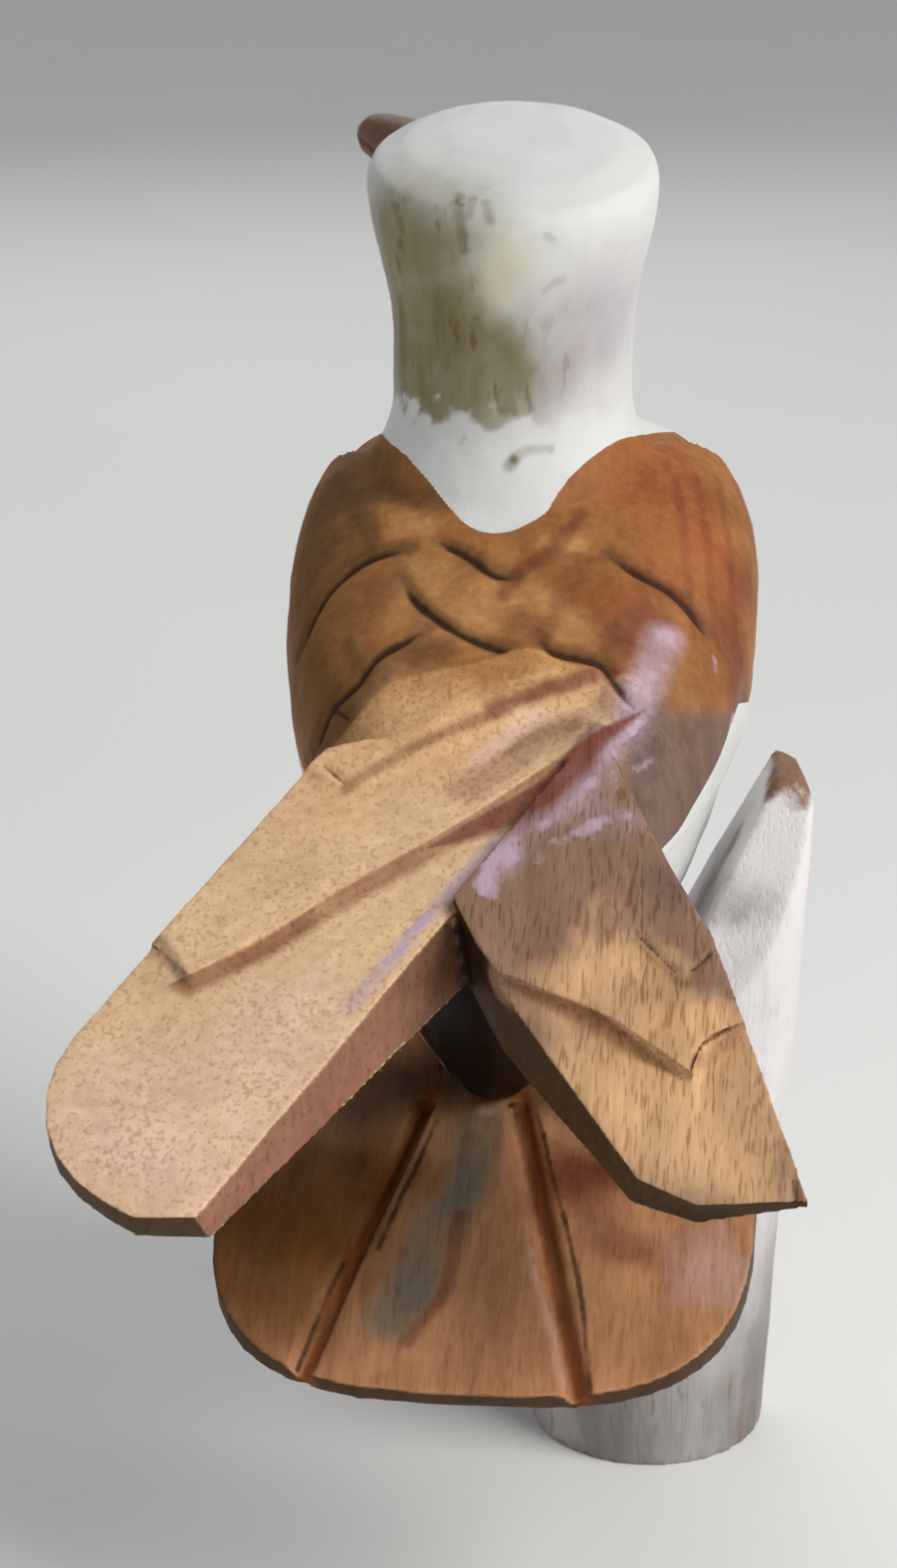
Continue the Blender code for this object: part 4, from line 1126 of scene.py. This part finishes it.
def paint_bird(mesh, near):
    target = Target(mesh)
    n = normals(mesh)
    brown, dark = brown_places(target.co, n, near)
    p = Painter(target, MANTLE)
    left, right, pale, bevel = stain_and_shade_bird(p, n, near, dark)
    chalk_bird(mesh, p, 1 - brown, bevel)
    raw = np.maximum(left * LEFT_PORES, right)
    write(mesh, "pores", np.maximum(raw, np.maximum(LEAST_PORES, PALE_PORES * pale)))
    write_colour(mesh, "tint", p.colour)


def sink_rim(shape):
    """Turns the open rim of a skin inwards and closes it there, out of sight."""
    rim = [e for e in shape.edges if e.is_boundary]
    for edge in rim:
        edge.smooth = False
    inward = {v: v.co - v.normal * RIM_DEPTH for e in rim for v in e.verts}
    made = bmesh.ops.extrude_edge_only(shape, edges=rim)["geom"]
    fresh = [g for g in made if isinstance(g, bmesh.types.BMVert)]
    for v in fresh:
        v.co = next(inward[e.other_vert(v)] for e in v.link_edges if e.other_vert(v) in inward)
    inner = [g for g in made if isinstance(g, bmesh.types.BMEdge) and g.is_boundary]
    caps = bmesh.ops.holes_fill(shape, edges=inner, sides=0)["faces"]
    bmesh.ops.triangulate(shape, faces=caps)


def unseen_paint(mesh, near):
    """The plain white skin that the picture doesn't show, away from the seams."""
    away = ((np.array(CAMERA_POINT) - points(mesh)) * normals(mesh)).sum(axis=1) < 0
    seams = np.min([near[node] for node in BIRD_NODES[1:]], axis=0)
    return away & (read(mesh, "cover") > FULL_COVER) & (seams > THIN_FROM_SEAMS)


def thin(mesh, share):
    """A skin with fewer faces where its thin attribute is set, and the rest as it was."""
    thing = new_object("full skin", mesh)
    group = thing.vertex_groups.new(name="thin")
    group.add(np.flatnonzero(read(mesh, "thin") > 0.5).tolist(), 1, "REPLACE")
    step = thing.modifiers.new("thin", "DECIMATE")
    step.ratio = share
    step.vertex_group = group.name
    return plain_mesh(thing)


def part_bird(mesh, near):
    """Parts the skin where the pieces meet, and closes each one inside."""
    write(mesh, "thin", unseen_paint(mesh, near))
    for node in BIRD_NODES:
        mesh.attributes.remove(mesh.attributes[f"near_{node}"])
    corner = np.argmin(np.stack([near[node] for node in BIRD_NODES]), axis=0)
    label = corner[np.array([p.vertices[0] for p in mesh.polygons])]
    for number, node in enumerate(BIRD_NODES):
        shape = bmesh.new()
        shape.from_mesh(mesh)
        shape.faces.ensure_lookup_table()
        others = [shape.faces[i] for i in np.flatnonzero(label != number)]
        bmesh.ops.delete(shape, geom=others, context="FACES")
        sink_rim(shape)
        made = as_mesh(f"carved_{node}", shape)
        if node == "body":
            made = thin(made, BODY_SHARE)
        made.attributes.remove(made.attributes["thin"])
        slot, *looks = PIECE_FINISHES[node]
        made.materials.clear()
        made.materials.append(carved_material(f"carved {node}", *looks))
        settle(f"carved_{node}", made, node)
    bpy.data.meshes.remove(mesh)


# Tail

TAIL_SLOPE = math.radians(19)
TAIL_UP = np.array((0, math.sin(TAIL_SLOPE), math.cos(TAIL_SLOPE)))
TAIL_FINISH = ((TAIL_SLOPE - math.pi / 2, 0, 0), 1700.0, 6.0, 0.5, 0.9, 0.55)
TAIL_PORES = 0.6
TAIL_GROOVES = {
    "left groove": ((436, 1100), (411, 1153), (365, 1254), (338, 1316), (308, 1386)),
    "right groove": ((524, 1100), (531, 1132), (556, 1254), (570, 1325), (586, 1402)),
}
# Painted shade on the shaded wall of each groove
GROOVE_WALL_SHADES = {
    "left groove, upper": ((440, 1125), (430, 1146), (404, 1200), (380, 1254)),
    "left groove, lower": ((345, 1270), (322, 1320), (298, 1376)),
    "right groove": ((540, 1120), (546, 1145), (558, 1193), (574, 1254), (585, 1315), (594, 1398)),
}
GROOVE_SHADE_WIDTH = 1.0
TAIL_STAINS_AND_PAINTED_LIGHT = (
    ((290, 1270), 26, TAIL_OLIVE, 1),
    ((250, 1230), 22, TAIL_OLIVE, 1),
    ((340, 1180), 20, TAIL_OLIVE, 1),
    ((580, 1190), 13, TAIL_RED, 1),
    ((625, 1245), 9, TAIL_RED, 0.6),
    ((670, 1320), 14, TAIL_PINK, 0.8),
    (((482, 1125), (464, 1190), (428, 1262), (390, 1330)), 6.5, TAIL_GREY, 0.95),
    ((700, 1270), 10, LILAC, 0.3),
    ((745, 1290), 8, TAIL_PALE_AND_HIGHLIGHT, 0.8),
    (((462, 1220), (448, 1290), (410, 1348)), 1.8, TAIL_RED, 0.6),
    # Painted shadow of the wings across the tail's upper part
    (((380, 1100), (470, 1075), (560, 1090), (640, 1140)), 12, TAIL_SHADE, 0.9),
    # Painted highlight at the tail's root
    ((492, 1112), 2.5, TAIL_PALE_AND_HIGHLIGHT, 0.7),
)
GROOVE_RUST_AND_HIGHLIGHT = (
    # Painted highlight on the lit wall of the right groove, then rust along the grooves
    (((533, 1254), (549, 1320), (567, 1392)), 1.4, TAIL_PALE_AND_HIGHLIGHT, 0.6),
    *((path, 2.6, GROOVE_RUST, 1) for path in TAIL_GROOVES.values()),
)


def build_tail():
    mesh = voxel_mesh("carved_tail", ("tail",), TAIL_VOXEL)
    relax(mesh, EDGE_ROUNDS)
    mesh = carve(mesh, Target(mesh).thrown(TAIL_GROOVES.values()), width=2.2, depth=0.6, mark_size=10,
                 mark_depth=0.6, seed=8, finish=carved_material("carved tail", *TAIL_FINISH), taper=False)
    p = Painter(Target(mesh), TAIL_PINK)
    p.stain(TAIL_STAINS_AND_PAINTED_LIGHT)
    # Painted shade on the faces that turn away from the tail's top
    p.lay(smoothstep(0.6, 0.3, normals(mesh) @ TAIL_UP) * 0.9, TAIL_SHADE)
    p.stain(GROOVE_RUST_AND_HIGHLIGHT)
    none = np.zeros(len(mesh.vertices))
    # The tail's cut darkening is only the painted shade of the groove walls
    cut = none
    for path in GROOVE_WALL_SHADES.values():
        cut = np.maximum(cut, 0.8 * p.stroke(path, GROOVE_SHADE_WIDTH))
    write(mesh, "cut", cut)
    write(mesh, "cover", none)
    write_colour(mesh, "wash", np.tile(linear(TAIL_GREY), (len(cut), 1)))
    write(mesh, "dirt", none)
    write(mesh, "pores", none + TAIL_PORES)
    write_colour(mesh, "tint", p.colour)
    settle("carved_tail", mesh, "tail")


# Pilings

# Drying checks: how many, steps of each, lowest start, lengths, sideways wander
CHECK_COUNT = 7
LINE_STEPS = 8
CHECK_FOOT = 0.01
CHECK_LENGTHS = (0.015, 0.05)
CHECK_WANDER = 0.03
POST_CLEAR = 0.06

# Foot of the posts, flat, bare, and darkened by painted shade above, in millimetres, and depth, height and
# lean of the hewn top
FLAT_FOOT = 0.3
BARE_FOOT = (0, 8)
SHADED_FOOT = (10, 60)
HEWN_DEPTH = 0.012
HEWN_FROM = (0.02, 0.05)
HEWN_FACING = (0.2, 0.5)

# Painted shade of the bird on the side piling's left part in the first four, then a light darkening down its
# right side: place, radius, strength
SIDE_SHADE_AND_DARKENING = (
    ((712, 890), 9, 0.95),
    ((700, 925), 12, 0.95),
    ((735, 850), 6, 0.95),
    ((752, 908), 8, 0.95),
    ((784, 1000), 20, 0.18),
    ((784, 1120), 22, 0.18),
    ((780, 1230), 20, 0.18),
)


def post_material():
    finish, shader, w = new_material("whitewashed post")
    grain = w.grain((0, 0, 0))
    wood = w.use(WOOD, Grain_Vector=grain, Tint=rgba(POST_WOOD), Pore_Length=9.0, Pore_Strength=0.6,
                 Streaks=0.8)
    stain = w.use(CUT_STAIN_AND_SHADE, Vector=w.place(), Color=wood["Color"], Cut=w.value("cut"))
    paint = w.use(PAINT, Vector=grain, Wood=stain["Color"], Cover=w.value("cover"), Paint=rgba(POST_WASH),
                  Dirt=w.value("dirt"), Dirt_Color=rgba(POST_DIRT_AND_SHADE), Speck_Color=rgba(POST_WOOD),
                  Wear_Size=120.0)
    w.feed(shader["Base Color"], paint["Color"])
    w.feed(shader["Roughness"], paint["Roughness"])
    w.feed(shader["Normal"], w.bump(w.math("ADD", wood["Height"], paint["Height"]), strength=0.4,
                                    distance=0.0003))
    return finish


def drying_checks(target, low, middle, seed):
    """Upright cracks at random places round a post."""
    random = np.random.default_rng(seed)
    checks = []
    for _ in range(CHECK_COUNT):
        angle = random.uniform(0, 2 * math.pi)
        bottom = random.uniform(low.z + CHECK_FOOT, middle.z)
        length = random.uniform(*CHECK_LENGTHS)
        looks = []
        for k in range(LINE_STEPS + 1):
            wander = angle + CHECK_WANDER * math.sin(5 * k + angle)
            out = Vector((math.cos(wander), math.sin(wander), 0))
            start = Vector((middle.x, middle.y, bottom + length * k / LINE_STEPS)) + out * POST_CLEAR
            looks.append((start, -out))
        line = target.met(looks)
        if len(line) > 2:
            checks.append(line)
    return checks


def build_post(name, node, finish, seed, grime_and_shade=()):
    mesh = voxel_mesh(name, (node,), POST_VOXEL)
    relax(mesh, EDGE_ROUNDS)
    low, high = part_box(node)
    checks = drying_checks(Target(mesh), low, (low + high) / 2, seed)
    mesh = carve(mesh, checks, width=0.8, depth=0.6, mark_size=14, mark_depth=0.8, seed=seed, finish=finish)
    co = points(mesh)
    co[:, 2] = np.where(co[:, 2] < low.z + FLAT_FOOT * MM, low.z, co[:, 2])
    set_points(mesh, co)
    height = co[:, 2] - low.z
    top = smoothstep(-HEWN_DEPTH, 0, co[:, 2] - high.z) * smoothstep(*HEWN_FROM, height)
    foot = within(height, *BARE_FOOT)
    hewn = smoothstep(*HEWN_FACING, normals(mesh)[:, 2])
    write(mesh, "cover", np.clip(0.95 - 0.55 * top * hewn - 0.3 * foot, 0, 1))
    # A little dirt all over, painted shade rising from the foot, darker again at the bare foot, and the given
    # spots of painted shade and darkening
    dirt = 0.06 + 0.9 * within(height, *SHADED_FOOT) + 0.3 * foot
    brush = Painter(Target(mesh), POST_WASH)
    for place, radius, strength in grime_and_shade:
        dirt = dirt + strength * brush.spot(place, radius)
    write(mesh, "dirt", np.clip(dirt, 0, 1))
    settle(name, mesh, node)


# Beak, eyes and dowels

HEAD_TURN = math.radians(35)
GAPE_LENGTH = 0.026
GAPE_BACK = 0.35
GAPE_RISE = 0.2
BEAK_CLEAR = 0.03
BEAD_SEGMENTS = 48
DOWEL_SHARP = math.radians(40)


def beak_material():
    finish, shader, w = new_material("brown beak")
    wood = w.use(WOOD, Grain_Vector=w.grain((1.4, 0, 0.6)), Tint=rgba(BEAK_BROWN), Pore_Length=4.0,
                 Pore_Strength=0.5, Streaks=0.6)
    stain = w.use(CUT_STAIN_AND_SHADE, Vector=w.place(), Color=wood["Color"], Cut=w.value("cut"), Stain=rgba(BEAK_DARK))
    w.feed(shader["Base Color"], stain["Color"])
    shader["Roughness"].default_value = 0.5
    w.feed(shader["Normal"], w.bump(wood["Height"], strength=0.3, distance=0.0003))
    return finish


def build_beak():
    mesh = voxel_mesh("carved_beak", ("beak",), BEAK_VOXEL)
    relax(mesh, EDGE_ROUNDS)
    target = Target(mesh)
    low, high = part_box("beak")
    facing = Vector((math.sin(HEAD_TURN), -math.cos(HEAD_TURN), 0))
    side = Vector((0, 0, 1)).cross(facing)
    middle = (low + high) / 2
    gape = []
    for sign in (1, -1):
        looks = []
        for k in range(LINE_STEPS + 1):
            ahead = (k / LINE_STEPS - GAPE_BACK) * GAPE_LENGTH
            start = middle + facing * ahead + Vector((0, 0, ahead * GAPE_RISE)) + side * sign * BEAK_CLEAR
            looks.append((start, side * -sign))
        gape.append(target.met(looks))
    mesh = carve(mesh, gape, width=0.8, depth=0.5, mark_size=6, mark_depth=0.4, seed=5,
                 finish=beak_material())
    settle("carved_beak", mesh, "beak")


def build_eyes():
    finish, shader, w = new_material("black bead")
    cloud = w.noise(w.place(), 900.0, 3.0)
    w.feed(shader["Base Color"], w.mix(cloud, BEAD_BLACK, BEAD_BROWN))
    w.feed(shader["Roughness"], w.math("ADD", w.math("MULTIPLY", cloud, 0.15), 0.08))
    for node in ("left_eye", "right_eye"):
        low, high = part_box(node)
        bead = bmesh.new()
        bmesh.ops.create_uvsphere(bead, u_segments=BEAD_SEGMENTS, v_segments=BEAD_SEGMENTS // 2,
                                  radius=(high - low).z / 2, matrix=Matrix.Translation((low + high) / 2))
        mesh = as_mesh(f"bead_{node}", bead)
        mesh.shade_smooth()
        mesh.materials.append(finish)
        settle(f"bead_{node}", mesh, node)


def build_dowels():
    finish, shader, w = new_material("dowel wood")
    wood = w.use(WOOD, Grain_Vector=w.grain((0.9, 0.2, 0)), Tint=rgba(DOWEL_PALE), Pore_Length=6.0,
                 Pore_Strength=0.4, Streaks=0.6)
    w.feed(shader["Base Color"], wood["Color"])
    shader["Roughness"].default_value = 0.65
    w.feed(shader["Normal"], w.bump(wood["Height"], strength=0.3, distance=0.0002))
    for node in sorted(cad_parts):
        if "dowel" in node or "peg" in node:
            mesh = as_mesh(f"turned_{node}", cad_bmesh(node, 0))
            mesh.shade_smooth()
            mesh.set_sharp_from_angle(angle=DOWEL_SHARP)
            mesh.materials.append(finish)
            settle(f"turned_{node}", mesh, node)


# Stage

FLOOR_HALF = 3.0
SKY_STRENGTH = 0.44

# Lamps: place, aim, size, power, colour
LAMPS = {
    "key": ((-0.75, 0.35, 0.75), (0, 0.02, 0.11), 0.6, 8.2, (1, 0.985, 0.96)),
    "fill": ((0.7, 0.8, 0.5), (0, 0.02, 0.11), 0.9, 0.8, (0.97, 0.98, 1)),
    "rim": ((0.2, -0.9, 0.7), (0, 0, 0.12), 0.8, 2.0, (1, 1, 1)),
}


def area_light(name, place, aim, size, power, colour):
    lamp = bpy.data.lights.new(name, "AREA")
    lamp.shape = "SQUARE"
    lamp.size = size
    lamp.energy = power
    lamp.color = colour
    thing = new_object(name, lamp)
    thing.location = place
    thing.rotation_euler = (Vector(aim) - Vector(place)).to_track_quat("-Z", "Y").to_euler()


def build_stage():
    sheet = bpy.data.meshes.new("floor")
    corners = [(x * FLOOR_HALF, y * FLOOR_HALF, 0) for x, y in ((-1, -1), (1, -1), (1, 1), (-1, 1))]
    sheet.from_pydata(corners, [], [(0, 1, 2, 3)])
    finish, shader, w = new_material("pale floor")
    cloud = w.noise(w.place(), 6.0, 2.0)
    w.feed(shader["Base Color"], w.mix(cloud, rgba(FLOOR_SHADE), rgba(FLOOR)))
    shader["Roughness"].default_value = 0.8
    sheet.materials.append(finish)
    new_object("floor", sheet)
    world = bpy.data.worlds.new("studio")
    bpy.context.scene.world = world
    world.use_nodes = True
    background = world.node_tree.nodes["Background"].inputs
    background["Color"].default_value = rgba(SKY)
    background["Strength"].default_value = SKY_STRENGTH
    for name, lamp in LAMPS.items():
        area_light(name, *lamp)
    bpy.context.scene.view_settings.view_transform = "Standard"


add_camera()
build_stage()
build_bird()
build_tail()
washed = post_material()
build_post("washed_main_piling", "main_piling", washed, 11)
build_post("washed_side_piling", "side_piling", washed, 23, SIDE_SHADE_AND_DARKENING)
build_beak()
build_eyes()
build_dowels()
